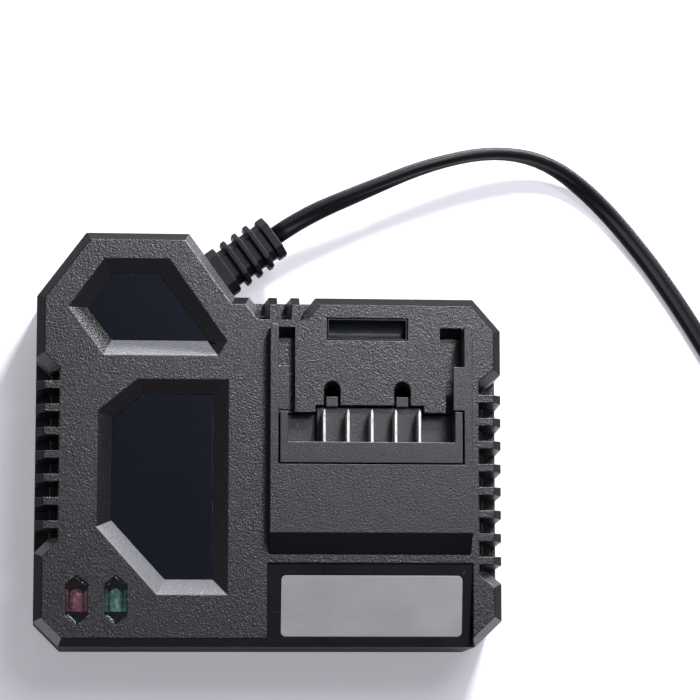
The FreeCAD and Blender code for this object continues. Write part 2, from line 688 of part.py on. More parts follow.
def terminal_holder():
    """The insert: a floor, three bars up to the rails' height, the raised block and two tabs."""
    outer = prism(holder_plan(0.0), (HOLDER_UNDER, RAIL_Z))
    left, right = BAY_X - HOLDER_HALF + HOLDER_BAR, BAY_X + HOLDER_HALF - HOLDER_BAR
    room = (HOLDER_POCKET_FRONT, BLOCK_BACK + 1)
    block_left, block_right = BAY_X - BLOCK_HALF, BAY_X + BLOCK_HALF
    cuts = [
        box((left, block_left), room, (HOLDER_FLOOR, RAIL_Z + 1)),
        box((block_right, right), room, (HOLDER_FLOOR, RAIL_Z + 1)),
        box((block_left - 0.1, block_right + 0.1), room, (BLOCK_TOP, RAIL_Z + 1)),
    ]
    body = outer.cut(Part.makeCompound(cuts))
    tab_span = (BLOCK_BACK, TAB_BACK)
    tabs = [box((x - TAB_HALF, x + TAB_HALF), tab_span, (BLOCK_TOP - 2, DECK_Z - 0.6)) for x in TAB_X]
    ears = [holder_ear(x, y, 0.0) for x, y in HOLDER_SCREWS]
    body = fused([body] + tabs + ears)
    body = body.cut(Part.makeCompound([blade(i, 0.04) for i in range(BLADES)]))
    holes = [rod(x, y, (HOLDER_UNDER - 1, HOLDER_UNDER + 2), SCREW_RADIUS + 0.1) for x, y in HOLDER_SCREWS]
    return body.cut(Part.makeCompound(holes)).removeSplitter()


def latch_pocket_insert():
    """The glossy trough: a round-bottomed hollow in a thin-walled tub."""
    gap = 0.1
    x_range = (LATCH_X[0] + gap, LATCH_X[1] - gap)
    y_range = (LATCH_Y[0] + gap, LATCH_Y[1] - gap)
    floor = DECK_Z - LATCH_DEPTH
    tub = box(x_range, y_range, (floor, DECK_Z - 0.4))
    inner_x = (x_range[0] + 0.5, x_range[1] - 0.5)
    inner_y = (y_range[0] + 0.5, y_range[1] - 0.5)
    middle = sum(inner_y) / 2
    half = (inner_y[1] - inner_y[0]) / 2
    axis_z = floor + LATCH_WALL + half
    upper = box(inner_x, inner_y, (axis_z, DECK_Z))
    axis_start = Vector(inner_x[0], middle, axis_z)
    trough = Part.makeCylinder(half, inner_x[1] - inner_x[0], axis_start, Vector(1, 0, 0))
    return tub.cut(upper.fuse(trough)).removeSplitter()


def well_plate(floor):
    """A blank plate let into the floor of a well."""
    return prism(inset(floor, 0.08), (DECK_Z - WELL_DEPTH - PLATE, DECK_Z - WELL_DEPTH))


def nameplate_block(sunk, gap):
    """The label plate's space on the sloping panel, sunk below the panel's face by that much."""
    half_x, half_y = NAMEPLATE_SIZE[0] / 2 + gap, NAMEPLATE_SIZE[1] / 2 + gap
    plate = box((-half_x, half_x), (-half_y, half_y), (-sunk, NAMEPLATE_THICK - sunk + gap))
    upright = [edge for edge in plate.Edges if abs(edge.Vertexes[0].Z - edge.Vertexes[1].Z) > 0.1]
    plate = plate.makeFillet(NAMEPLATE_CORNER, upright)
    plate.rotate(Vector(), Vector(1, 0, 0), math.degrees(PANEL_SLOPE))
    middle_y = PANEL_BACK - NAMEPLATE_DOWN
    middle_z = PANEL_BACK_Z - NAMEPLATE_DOWN * math.tan(PANEL_SLOPE)
    plate.translate(Vector(NAMEPLATE_X, middle_y, middle_z))
    return plate


def indicator_lens(x):
    """A clear window with a bevelled top, and a flange under the deck."""
    body = prism(lens_plan(x, -0.08), (DECK_UNDER, DECK_Z))
    top = taper(lens_plan(x, -0.08), DECK_Z, lens_plan(x, -0.9), DECK_Z + LENS_PROUD)
    flange = prism(lens_plan(x, 0.9), (DECK_UNDER - 0.8, DECK_UNDER))
    return fused([body, top, flange])


def indicator_lamp(x):
    """A round-topped lamp on the indicator board."""
    low = INDICATOR_BOARD_Z + INDICATOR_BOARD_THICK
    rim = rod(x, LENS_Y, (low, low + 1.0), LAMP_RADIUS + 0.4)
    stem = rod(x, LENS_Y, (low, low + 4.2), LAMP_RADIUS)
    dome = Part.makeSphere(LAMP_RADIUS, Vector(x, LENS_Y, low + 4.2))
    return fused([rim, stem, dome])


def indicator_board():
    """The small board under the windows, screwed up to two posts."""
    z_range = (INDICATOR_BOARD_Z, INDICATOR_BOARD_Z + INDICATOR_BOARD_THICK)
    board = box((-69.0, -40.6), (-60.0, -40.6), z_range)
    holes = [rod(x, y, (z_range[0] - 1, z_range[1] + 1), SCREW_RADIUS) for x, y in INDICATOR_SCREWS]
    return board.cut(Part.makeCompound(holes))


def indicator_leads():
    """Three leads side by side from the indicator board down to the circuit board."""
    leads = []
    for i in range(3):
        x = -54.0 + i * 1.6
        high_y, low_y = -42.4, -36.4
        bend = BOARD_TOP + 5
        corners = [(high_y, INDICATOR_BOARD_Z), (high_y, bend), (low_y, bend), (low_y, BOARD_TOP)]
        leads.append(tube([Vector(x, y, z) for y, z in corners], 0.6))
    return Part.makeCompound(leads)


def path_of(points, share=ROUTE_SHARE):
    """A wire of straight runs joined by tangent arcs, and the arcs' radii."""
    edges = []
    radii = []
    last = points[0]
    for before, here, after in zip(points, points[1:], points[2:]):
        way_in = (here - before).normalize()
        way_out = (after - here).normalize()
        reach = share * min((here - before).Length, (after - here).Length)
        turn = way_in.getAngle(way_out)
        arc_start = here - way_in * reach
        arc_end = here + way_out * reach
        radius = reach / math.tan(turn / 2)
        inward = (way_out - way_in).normalize()
        arc_middle = here + inward * (radius / math.cos(turn / 2) - radius)
        edges.append(Part.LineSegment(last, arc_start).toShape())
        edges.append(Part.Arc(arc_start, arc_middle, arc_end).toShape())
        radii.append(radius)
        last = arc_end
    edges.append(Part.LineSegment(last, points[-1]).toShape())
    return Part.Wire(edges), radii


def swept(path, start, direction, radius):
    """A round tube along a wire."""
    ring = Part.Wire(Part.makeCircle(radius, start, direction))
    return path.makePipeShell([ring], True, False)


def tube(points, radius):
    """A round tube along points, with tangent arcs at the corners."""
    path, _ = path_of(points)
    return swept(path, points[0], points[1] - points[0], radius)


def coil_direction(angle):
    """The cord's heading where it joins or leaves the coil at an angle."""
    return Vector(-math.sin(angle), math.cos(angle), 0)


def coil_point(turns):
    """A point on the coil after that many turns: in, up a layer in half a turn, and out again."""
    angle = COIL_ENTRY + WHOLE_TURN * turns
    halfway = COIL_LAYER_TURNS + COIL_CLIMB_TURNS / 2
    radius = COIL_OUTER - COIL_PITCH * (halfway - abs(turns - halfway))
    rise = min(max((turns - COIL_LAYER_TURNS) / COIL_CLIMB_TURNS, 0.0), 1.0)
    height = ON_TABLE + COIL_PITCH * (1 - math.cos(math.pi * rise)) / 2
    return COIL_CENTRE + Vector(radius * math.cos(angle), radius * math.sin(angle), height)


def coil_turns():
    """How many turns the coil has in all."""
    return 2 * COIL_LAYER_TURNS + COIL_CLIMB_TURNS


def biarc(start, start_way, end, end_way):
    """Two arcs that join smoothly between two points with their headings."""
    span = end - start
    both = start_way + end_way
    bend = 2 * (1 - start_way.dot(end_way))
    if bend < 1e-9:
        reach = span.dot(span) / (4 * span.dot(end_way))
    else:
        reach = (-span.dot(both) + math.sqrt(span.dot(both) ** 2 + bend * span.dot(span))) / bend
    joint = (start + end + (start_way - end_way) * reach) * 0.5
    return [arc_with(start, start + start_way * reach, joint), arc_with(joint, end - end_way * reach, end)]


def arc_with(start, corner, end):
    """The arc between two points whose tangents meet at a corner."""
    weight = (end - start).Length / 2 / (corner - start).Length
    middle = (start + end + corner * (2 * weight)) * (1 / (2 + 2 * weight))
    return Part.Arc(start, middle, end).toShape()


def coil_path():
    """The coil's wire: a straight start, quarter-turn biarcs, and the lead down to the plug."""
    quarters = round(coil_turns() * 4)
    points = [coil_point(i / 4) for i in range(quarters + 1)]
    ways = []
    small = 0.002
    for i in range(quarters + 1):
        ahead = coil_point(i / 4 + small) - coil_point(i / 4 - small)
        ways.append(ahead.normalize())
    way = coil_direction(COIL_ENTRY)
    ways[0] = way
    ways[-1] = way
    start = points[0] - way * CORD
    edges = [Part.LineSegment(start, points[0]).toShape()]
    for i in range(quarters):
        edges += biarc(points[i], ways[i], points[i + 1], ways[i + 1])
    level = points[-1] + way * COIL_LEVEL_END
    plug_entry = plug_place()
    straight = plug_entry - way * CORD
    edges.append(Part.LineSegment(points[-1], level).toShape())
    edges += biarc(level, way, straight, way)
    edges.append(Part.LineSegment(straight, plug_entry).toShape())
    return Part.Wire(edges), start, way


def plug_place():
    """Where the cord enters the plug."""
    last = coil_point(coil_turns())
    away = last + coil_direction(COIL_ENTRY) * PLUG_REACH
    return Vector(away.x, away.y, PLUG_AXIS_Z)


def mains_cord_coil():
    """The put-away length of cord, wound in two layers beside the charger."""
    path, start, way = coil_path()
    coil = swept(path, start, way, CORD_RADIUS)
    print("coil length %.0f, least gap %.2f" % (path.Length, least_gap(path)))
    return coil, path.Length


def least_gap(path):
    """The least gap between stretches of a tube that lie well apart along it, measured on points."""
    spacing = 2.0
    points = path.discretize(Distance=spacing)
    skip = int(10 * CORD / spacing)
    return min(
        (points[i] - points[j]).Length for i in range(len(points)) for j in range(i + skip, len(points))
    ) - CORD


def cord_route():
    """The corners of the cord's free stretch, from the strain relief to the coil."""
    exit_point, away = relief_point(RELIEF_FLANGE[1])
    entry = coil_point(0) - coil_direction(COIL_ENTRY) * CORD
    approach = entry - coil_direction(COIL_ENTRY) * COIL_APPROACH
    first = exit_point + away * EXIT_RUN
    return [exit_point, first] + [Vector(*point) for point in ROUTE_MIDDLE] + [approach, entry]


def mains_cord():
    """The free stretch of the cord that lies beside the charger."""
    route = cord_route()
    path, radii = path_of(route)
    cord = swept(path, route[0], route[1] - route[0], CORD_RADIUS)
    expected = math.pi * CORD_RADIUS ** 2 * path.Length
    print("cord length %.0f, volume ratio %.4f" % (path.Length, cord.Volume / expected))
    print("cord route", [tuple(round(value, 1) for value in point) for point in route])
    print("cord radii", [round(radius) for radius in radii])
    return cord, path.Length


def cord_strain_relief():
    """The ribbed sleeve: collar inside, neck through the wall, block, ribs and end flange on a core."""
    collar = eight_sided(RELIEF_WIDTH - 1, RELIEF_HEIGHT - 1, RELIEF_CHAMFER, RELIEF_COLLAR)
    neck = eight_sided(RELIEF_NECK[0], RELIEF_NECK[1], 2.0, (RELIEF_COLLAR[1], RELIEF_BLOCK[0]))
    block = eight_sided(RELIEF_WIDTH, RELIEF_HEIGHT, RELIEF_CHAMFER, RELIEF_BLOCK)
    core = eight_sided(RELIEF_CORE[0], RELIEF_CORE[1], 2.4, (RELIEF_BLOCK[0], RELIEF_FLANGE[0]))
    ribs = [eight_sided(RELIEF_WIDTH, RELIEF_HEIGHT, RELIEF_CHAMFER, span) for span in RELIEF_RIBS]
    flange = eight_sided(RELIEF_FLANGE_WIDTH, RELIEF_HEIGHT - 1, RELIEF_CHAMFER, RELIEF_FLANGE)
    whole = fused([collar, neck, block, core, flange] + ribs)
    bore = Part.makeCylinder(CORD_RADIUS + SLEEVE_GAP, 40, Vector(-10, 0, 0), Vector(1, 0, 0))
    return relief_frame(whole.cut(bore))


def cord_tail():
    """The end of the cord's sheath, through the strain relief and the clamp."""
    length = RELIEF_FLANGE[1] - TAIL_IN
    return relief_frame(Part.makeCylinder(CORD_RADIUS, length, Vector(TAIL_IN, 0, 0), Vector(1, 0, 0)))


def mains_leads():
    """The two bare-sheathed conductors from the cord's end to the circuit board."""
    end, away = relief_point(TAIL_IN)
    side = UP.cross(away)
    leads = []
    for i, way in enumerate((-1, 1)):
        start = end + side * (1.45 * way)
        low = Vector(-44.0 - 5.0 * i, 33.0, 0)
        turn = start - away * 7
        foot = Vector(low.x, low.y, BOARD_TOP)
        leads.append(tube([start, turn, Vector(low.x, low.y, SPLIT_Z - 1), foot], 1.1))
    return Part.makeCompound(leads)


def rounded_section(at, width, height, radius):
    """A rounded rectangle square to X at a distance along it."""
    w, h, r = width / 2, height / 2, radius
    edges = []
    quarter = math.sqrt(0.5) * r
    for i, (y_way, z_way) in enumerate(((1, -1), (1, 1), (-1, 1), (-1, -1))):
        centre = Vector(at, y_way * (w - r), z_way * (h - r))
        along_y = Vector(0, y_way * r, 0)
        along_z = Vector(0, 0, z_way * r)
        first, last = (along_z, along_y) if i % 2 == 0 else (along_y, along_z)
        middle = Vector(0, y_way * quarter, z_way * quarter)
        arc = Part.Arc(centre + first, centre + middle, centre + last).toShape()
        if edges:
            edges.append(Part.LineSegment(edges[-1].Vertexes[-1].Point, centre + first).toShape())
        edges.append(arc)
    edges.append(Part.LineSegment(edges[-1].Vertexes[-1].Point, edges[0].Vertexes[0].Point).toShape())
    return Part.Wire(edges)


def plug_frame(shape):
    """Takes a shape made along +X at the origin to the plug's place."""
    place = plug_place()
    way = coil_direction(COIL_ENTRY)
    shape.rotate(Vector(), UP, math.degrees(math.atan2(way.y, way.x)))
    shape.translate(place)
    return shape


def plug_body():
    """The moulded plug: a narrow tail that widens to the flat front with the pins."""
    sections = [
        rounded_section(0, 8.4, 7.6, 3.4),
        rounded_section(10.0, 10.6, 9.6, 4.0),
        rounded_section(17.0, 17.0, 12.6, 5.2),
        rounded_section(25.0, 30.5, PLUG_THICK, 5.8),
        rounded_section(PLUG_LENGTH, PLUG_WIDTH, PLUG_THICK, 6.0),
    ]
    return plug_frame(Part.makeLoft(sections, True, True))


def plug_pins():
    """The two round pins with domed ends."""
    pins = []
    for side in (-1, 1):
        place = Vector(PLUG_LENGTH, side * PIN_SPACING / 2, 0)
        shank = Part.makeCylinder(PIN_RADIUS, PIN_LENGTH - PIN_RADIUS, place, Vector(1, 0, 0))
        end = Part.makeSphere(PIN_RADIUS, place + Vector(PIN_LENGTH - PIN_RADIUS, 0, 0))
        pins.append(plug_frame(fused([shank, end])))
    return Part.makeCompound(pins)


def circuit_board():
    """The main board, cut round the case posts, with slots for the blades' tails."""
    board = box(BOARD_X, BOARD_Y, (BOARD_Z, BOARD_TOP))
    cuts = [rod(x, y, (BOARD_Z - 1, BOARD_TOP + 1), 5.4) for x, y in CASE_POSTS]
    cuts += [rod(x, y, (BOARD_Z - 1, BOARD_TOP + 1), SCREW_RADIUS + 0.1) for x, y in BOARD_POSTS]
    cuts += [rod(place.x, place.y, (BOARD_Z - 1, BOARD_TOP + 1), 4.0) for place in clamp_places()]
    cuts += [blade(i, 0.1) for i in range(BLADES)]
    return board.cut(Part.makeCompound(cuts))


def on_board(width, depth, height, x, y):
    """A block that stands on the circuit board, centred on x and y."""
    heights = (BOARD_TOP, BOARD_TOP + height)
    return box((x - width / 2, x + width / 2), (y - depth / 2, y + depth / 2), heights)


def leg_row(xs, y, height, half=0.4):
    """Square legs that stand on the board."""
    return [box((x - half, x + half), (y - half, y + half), (BOARD_TOP, BOARD_TOP + height)) for x in xs]


def capacitor(x, y, radius, height):
    """An upright round capacitor with a rolled groove near its base."""
    can = rod(x, y, (BOARD_TOP, BOARD_TOP + height), radius)
    groove = Part.makeTorus(radius + 0.3, 0.8, Vector(x, y, BOARD_TOP + 2.4), UP)
    return can.cut(groove)


def transformer_core():
    """The ferrite core: a frame with a middle leg."""
    x, y = TRANSFORMER
    core = on_board(*CORE_SIZE, x, y)
    core.translate(Vector(0, 0, CORE_LIFT))
    low, high = (BOARD_TOP + CORE_LIFT + z for z in CORE_WINDOW)
    outer = CORE_SIZE[0] / 2 - CORE_SIDE
    windows = [
        box((x + CORE_LEG / 2, x + outer), (y - 10, y + 10), (low, high)),
        box((x - outer, x - CORE_LEG / 2), (y - 10, y + 10), (low, high)),
    ]
    return core.cut(Part.makeCompound(windows))


def around_leg(outer, inner, z_range):
    """A square collar round the core's middle leg, that much wider than the leg each way."""
    x, y = TRANSFORMER
    through = (z_range[0] - 1, z_range[1] + 1)

    def block(reach, heights):
        half_x, half_y = CORE_LEG / 2 + reach, CORE_SIZE[1] / 2 + reach
        return box((x - half_x, x + half_x), (y - half_y, y + half_y), heights)

    return block(outer, z_range).cut(block(inner, through))


def transformer_bobbin():
    """The bobbin: a sleeve with two flanges, and two pin bars that stand on the board."""
    x, y = TRANSFORMER
    low, high = (BOARD_TOP + CORE_LIFT + z for z in CORE_WINDOW)
    sleeve = around_leg(1.0, 0.15, (low + 0.1, high - 0.1))
    flange_heights = ((low + 0.1, low + 1.1), (high - 1.1, high - 0.1))
    flanges = [around_leg(BOBBIN_REACH, 0.15, heights) for heights in flange_heights]
    outer_y = CORE_SIZE[1] / 2 + BOBBIN_REACH
    bars = [
        box((x - 9, x + 9), sorted((y + side * (outer_y - 3.4), y + side * outer_y)), (BOARD_TOP, low + 0.6))
        for side in (-1, 1)
    ]
    return fused([sleeve] + flanges + bars)


def transformer_winding():
    """The wound copper under its tape."""
    low, high = (BOARD_TOP + CORE_LIFT + z for z in CORE_WINDOW)
    return around_leg(BOBBIN_REACH - 0.8, 1.05, (low + 1.15, high - 1.15))


def ring_round(x, y, outer, inner, z_range):
    """A flat ring with an upright axis."""
    return rod(x, y, z_range, outer).cut(rod(x, y, (z_range[0] - 1, z_range[1] + 1), inner))


def choke_core():
    """The choke's ferrite ring."""
    return ring_round(*CHOKE, 8.0, 5.0, (BOARD_TOP + 3.0, BOARD_TOP + 9.0))


def choke_windings():
    """Two windings, one on each half of the ring."""
    x, y = CHOKE
    low, high = BOARD_TOP + 1.7, BOARD_TOP + 10.3
    room = ring_round(x, y, 8.05, 4.95, (low + 1.25, high - 1.25))
    sleeve = ring_round(x, y, 9.4, 3.6, (low, high)).cut(room)
    corners = [(x + side * 8.6, y + way * 2.0) for side in (-1, 1) for way in (-1, 1)]
    legs = [rod(*corner, (BOARD_TOP, low + 0.5), 0.5) for corner in corners]
    gap = box((x - 1.6, x + 1.6), (y - 12, y + 12), (low - 1, high + 1))
    return fused([sleeve] + legs).cut(gap)


def transistor(x, y, turn):
    """A flat power transistor: body, metal tab and three legs."""
    body = on_board(10.2, 4.4, 9.0, x, y)
    body.translate(Vector(0, 0, 4.0))
    tab = on_board(10.2, 1.3, 15.4, x, y + 1.55)
    tab.translate(Vector(0, 0, 4.0))
    hole = Part.makeCylinder(1.8, 10, Vector(x, y - 5, BOARD_TOP + 16.4), Vector(0, 1, 0))
    legs = leg_row((x - LEG_PITCH, x, x + LEG_PITCH), y, 4.2)
    whole = fused([body, tab] + legs).cut(hole)
    whole.rotate(Vector(x, y, 0), UP, turn)
    return whole


def heatsink(x, y, width, way):
    """A plate with fins on the side away from its transistor."""
    plate = on_board(width, 2.0, 20.0, x, y)
    count = int(width // 6)
    fins = []
    for i in range(count):
        fin_x = x - width / 2 + (i + 0.5) * width / count
        fins.append(on_board(1.2, 7.0, 20.0, fin_x, y + way * 4.4))
    return fused([plate] + fins)


def along_x(x_range, radius):
    """A cylinder along X on the fuse's axis."""
    start = Vector(x_range[0], FUSE_Y, FUSE_CENTRE_Z)
    return Part.makeCylinder(radius, x_range[1] - x_range[0], start, Vector(1, 0, 0))


def fuse_tube():
    """The glass tube of the mains fuse."""
    return along_x((-41.5, -30.5), 2.5).cut(along_x((-42.0, -30.0), 2.0))


def fuse_caps():
    """The fuse's two metal caps in their clips."""
    caps = []
    for x in (-46.0, -30.5):
        clip = box((x + 0.8, x + 3.7), (FUSE_Y - 1.8, FUSE_Y + 1.8), (BOARD_TOP, FUSE_CENTRE_Z - 1.0))
        caps.append(fused([along_x((x, x + 4.5), 2.6), clip]))
    return Part.makeCompound(caps)


def chip(x, y, width, depth):
    """A small flat chip with legs along two sides."""
    body = on_board(width, depth, 3.1, x, y)
    body.translate(Vector(0, 0, 0.5))
    legs = []
    count = int(width / LEG_PITCH)
    for i in range(count):
        leg_x = x + (i - (count - 1) / 2) * LEG_PITCH
        for side in (-1, 1):
            reach = sorted((y + side * (depth / 2 - 0.4), y + side * (depth / 2 + 0.6)))
            legs.append(box((leg_x - 0.3, leg_x + 0.3), reach, (BOARD_TOP, BOARD_TOP + 1.8)))
    return fused([body] + legs)


def bridge_rectifier():
    """The flat bridge rectifier, standing on its four legs."""
    x, y = BRIDGE
    body = on_board(22.0, 3.5, 15.0, x, y)
    body.translate(Vector(0, 0, 3.0))
    return fused([body] + leg_row([x + 2 * LEG_PITCH * i for i in (-1.5, -0.5, 0.5, 1.5)], y, 3.2))


def rubber_foot(x, y):
    """A round foot let into the case's underside."""
    foot = rod(x, y, (0, FOOT_THICK), FOOT_RADIUS - 0.05)
    rim = [edge for edge in foot.Edges if edge.Vertexes[0].Z < 0.01 and edge.BoundBox.ZLength < 0.01]
    return foot.makeChamfer(0.5, rim)


def save(name, shape):
    """Writes one sub-part, and says so if it isn't a valid solid."""
    solids = len(shape.Solids)
    if not shape.isValid() or not solids:
        print("PROBLEM", name, "valid", shape.isValid(), "solids", solids)
    if solids == 1:
        shape = shape.Solids[0]
    shape.exportStep("parts/%s.step" % name)
    print("%-24s solids %2d  volume %9.1f" % (name, solids, shape.Volume))


def main():
    """Builds every sub-part and writes it to its own file."""
    os.makedirs("parts", exist_ok=True)
    save("upper_case", upper_case())
    save("lower_case", lower_case())
    save("battery_rail_frame", battery_rail_frame())
    save("terminal_holder", terminal_holder())
    for i in range(BLADES):
        save("terminal_blade_%d" % (i + 1), blade(i))
    save("latch_pocket_insert", latch_pocket_insert())
    save("upper_well_plate", well_plate(UPPER_FLOOR))
    save("lower_well_plate", well_plate(LOWER_FLOOR))
    save("nameplate", nameplate_block(NAMEPLATE_SUNK, 0.0))
    save("red_lens", indicator_lens(RED_X))
    save("green_lens", indicator_lens(GREEN_X))
    save("red_lamp", indicator_lamp(RED_X))
    save("green_lamp", indicator_lamp(GREEN_X))
    save("indicator_board", indicator_board())
    save("indicator_leads", indicator_leads())
    save("indicator_screws", screws(INDICATOR_SCREWS, INDICATOR_BOARD_Z, 1, 5.0))

    save("circuit_board", circuit_board())
    save("fuse_tube", fuse_tube())
    save("fuse_caps", fuse_caps())
    save("interference_capacitor", on_board(8.0, 17.0, 13.0, -15.0, 29.0))
    save("varistor", on_board(11.0, 4.0, 13.0, -33.5, 31.0))
    save("choke_core", choke_core())
    save("choke_windings", choke_windings())
    save("bridge_rectifier", bridge_rectifier())
    save("mains_capacitor", capacitor(-50.0, -12.0, 9.0, 22.0))
    save("switching_transistor", transistor(-30.0, -4.0, 180))
    save("primary_heatsink", heatsink(-30.0, -7.2, 22.0, -1))
    save("transformer_core", transformer_core())
    save("transformer_bobbin", transformer_bobbin())
    save("transformer_winding", transformer_winding())
    save("output_rectifier", transistor(34.0, -20.0, 0))
    save("secondary_heatsink", heatsink(34.0, -16.8, 28.0, 1))
    save("output_capacitors", Part.makeCompound([capacitor(x, -44.0, 6.25, 20.0) for x in (20.0, 35.0)]))
    save("optocoupler", chip(-6.0, 4.0, 6.0, 6.4))
    save("control_chip", chip(-34.0, -32.0, 10.0, 6.4))
    save("charge_controller", chip(30.0, 16.0, 18.0, 6.4))

    save("cord_strain_relief", cord_strain_relief())
    save("cord_tail", cord_tail())
    save("cord_clamp", cord_clamp())
    save("cord_clamp_screws", cord_clamp_screws())
    save("mains_leads", mains_leads())
    save("case_screws", screws(CASE_POSTS, CASE_SCREW_SEAT, 1, 20.0))
    save("board_screws", screws(BOARD_POSTS, BOARD_TOP, -1, 7.0))
    save("frame_screws", screws(FRAME_SCREWS, FRAME_SCREW_SEAT, 1, 11.0))
    save("holder_screws", screws(HOLDER_SCREWS, HOLDER_UNDER, 1, 7.0))
    save("rubber_feet", Part.makeCompound([rubber_foot(x, y) for x, y in FEET]))

    cord, cord_length = mains_cord()
    save("mains_cord", cord)
    coil, coil_length = mains_cord_coil()
    save("mains_cord_coil", coil)
    save("plug_body", plug_body())
    save("plug_pins", plug_pins())
    tail_length = RELIEF_FLANGE[1] - TAIL_IN
    print("whole cord %.0f" % (cord_length + coil_length + tail_length))


main()
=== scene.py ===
import json
import math

import bmesh
import bpy
import numpy as np
from bpy.props import FloatProperty, FloatVectorProperty, IntProperty, PointerProperty
from mathutils import Matrix, Vector


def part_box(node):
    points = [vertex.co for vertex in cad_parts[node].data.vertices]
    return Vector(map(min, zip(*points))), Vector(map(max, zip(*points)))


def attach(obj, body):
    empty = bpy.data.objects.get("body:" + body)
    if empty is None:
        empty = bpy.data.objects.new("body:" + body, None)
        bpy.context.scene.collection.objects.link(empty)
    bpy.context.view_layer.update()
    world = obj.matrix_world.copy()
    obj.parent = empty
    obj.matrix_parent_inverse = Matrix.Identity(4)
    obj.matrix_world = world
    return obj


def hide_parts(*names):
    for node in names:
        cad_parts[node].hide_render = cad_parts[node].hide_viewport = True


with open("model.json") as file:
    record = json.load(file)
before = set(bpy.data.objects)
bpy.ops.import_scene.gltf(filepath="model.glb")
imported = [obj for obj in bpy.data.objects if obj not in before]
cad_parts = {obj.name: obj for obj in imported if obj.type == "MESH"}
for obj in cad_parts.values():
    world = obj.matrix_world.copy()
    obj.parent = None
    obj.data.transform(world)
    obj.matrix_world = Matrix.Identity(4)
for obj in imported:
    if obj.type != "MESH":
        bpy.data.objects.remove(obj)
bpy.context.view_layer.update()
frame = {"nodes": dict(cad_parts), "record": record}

# The finish of a bench charger for slide-in batteries, put on its construction.
# Lengths are in metres, in the construction's own frame: X right, Y to the back, Z up.

bl_info = {
    "name": "Battery Charger Finish",
    "version": (1, 0, 0),
    "blender": (4, 5, 0),
    "location": "View3D > Sidebar > Charger",
    "description": "Surfaces, cord, plug and studio for a slide-in battery charger",
    "category": "Object",
}

BODY = "root"
MM = 0.001
UP = np.array([0.0, 0.0, 1.0])
SLOT_OF = {part["node"]: part["material_slot"] for part in frame["record"]["subparts"]}
COLOUR_OF = {row["slot"]: row["base_color"] for row in frame["record"]["materials"]}

# Heights of the case that the finishes change at
DECK_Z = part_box("upper_case")[1].z
BEVEL_Z = DECK_Z - 0.0048
WELL_FLOOR_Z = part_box("upper_well_plate")[1].z

# Where the battery's grooves run out in ramps: low x, high x, low y and high y
RAMPS = [(0.0020, 0.0125, 0.0050, 0.0400), (0.0500, 0.0622, 0.0050, 0.0400)]

# Route of the cord beside the charger: out of the strain relief, round and down to the table
CORD_ROUTE = [
    (0.0024, 0.0691, 0.0200), (0.0116, 0.0758, 0.0200), (0.0320, 0.0847, 0.0206),
    (0.0535, 0.0940, 0.0208), (0.0755, 0.0996, 0.0172), (0.0952, 0.0982, 0.0096),
    (0.1126, 0.0868, 0.0030), (0.1290, 0.0682, 0.00185), (0.1416, 0.0502, 0.00185),
    (0.1522, 0.0329, 0.00185), (0.1624, 0.0157, 0.00185),
]

# The strain relief's foot on the cut corner, and the way that it points
RELIEF_FOOT = np.array([-0.01758, 0.05468, 0.0200])
RELIEF_AXIS = np.array([0.8103, 0.5861, 0.0])
TAIL_START, TAIL_END = -0.0190, 0.0240
TAIL_POINTS = 12
SEAL_START, SEAL_END = 0.0180, 0.0243
SEAL_RADIUS = 0.00313
SEAL_RIM = 0.0003

# The put-away coil: in, up a layer in half a turn, and out again
COIL_CENTRE = (0.2030, 0.0326)
COIL_LAYERS = (0.00235, 0.00625)
COIL_OUTER = 0.0435
COIL_PITCH = 0.00665
COIL_LAYER_TURNS = 2.75
COIL_CLIMB_TURNS = 0.5
COIL_HALFWAY = COIL_LAYER_TURNS + COIL_CLIMB_TURNS / 2
COIL_ENTRY = math.radians(210.7)
POINTS_A_TURN = 16

# Past the coil: where the cord stops being level, where it has risen, and where it enters the plug
LEVEL_END = 0.016
LIFT_END = 0.030
LIFT = 0.0006
PLUG_REACH = 0.046
INTO_PLUG = 0.002

# The plug's shape from the cord's end, 0, to the face, 1, with half its width and height in millimetres
PLUG_KNOTS = (0.0, 0.24, 0.36, 0.50, 0.70, 0.88, 1.0)
PLUG_HALF_WIDTHS = (4.0, 4.6, 6.2, 10.5, 15.6, 17.3, 17.6)
PLUG_HALF_HEIGHTS = (3.6, 4.4, 5.1, 6.0, 6.7, 6.8, 6.8)
PLUG_FACE = (0.985, 0.995, 1.0, 1.0)
PLUG_SHRINK = (0.998, 0.985, 0.955, 0.90)
PLUG_POWER_KNOTS = (0.0, 0.3, 0.6, 1.0)
PLUG_POWERS = (2.2, 2.4, 3.4, 4.5)
PLUG_SMOOTHING = 15
SLEEVE_RECESS, SLEEVE_ROOT, SLEEVE_RIM = 0.00012, 0.0010, 0.00035
PIN_TUCK, PIN_CHAMFER, PIN_CORE = 0.0004, 0.0002, 0.0003
RINGS_FROM, RINGS_TO, RING_STEP, RING_DEPTH, RING_OVER = 0.02, 0.27, 0.0625, 0.45 * MM, 0.2
GRIP_FROM, GRIP_TO, GRIP_FLAT, GRIP_FADE = 0.56, 0.86, 0.78, 1.15
RIDGE_STEP, RIDGE_DEPTH = 0.05, 0.55 * MM

# How the case's faces are told apart: bounds on the parts of a face's normal, and on its place
RIM_UP = (0.30, 0.62)
WELL_UP = (0.55, 0.90)
PANEL_UP = 0.95
CORNER_SIDEWAYS = 0.25
RIM_REACH = 0.03
LIT_BACK, LIT_RIGHT, LIT_WEST_OF = 0.35, -0.2, -0.010
PANEL_BACK = -0.10
RAIL_SLOPE_BACK, RAIL_SLOPE_UP = -0.5, 0.3
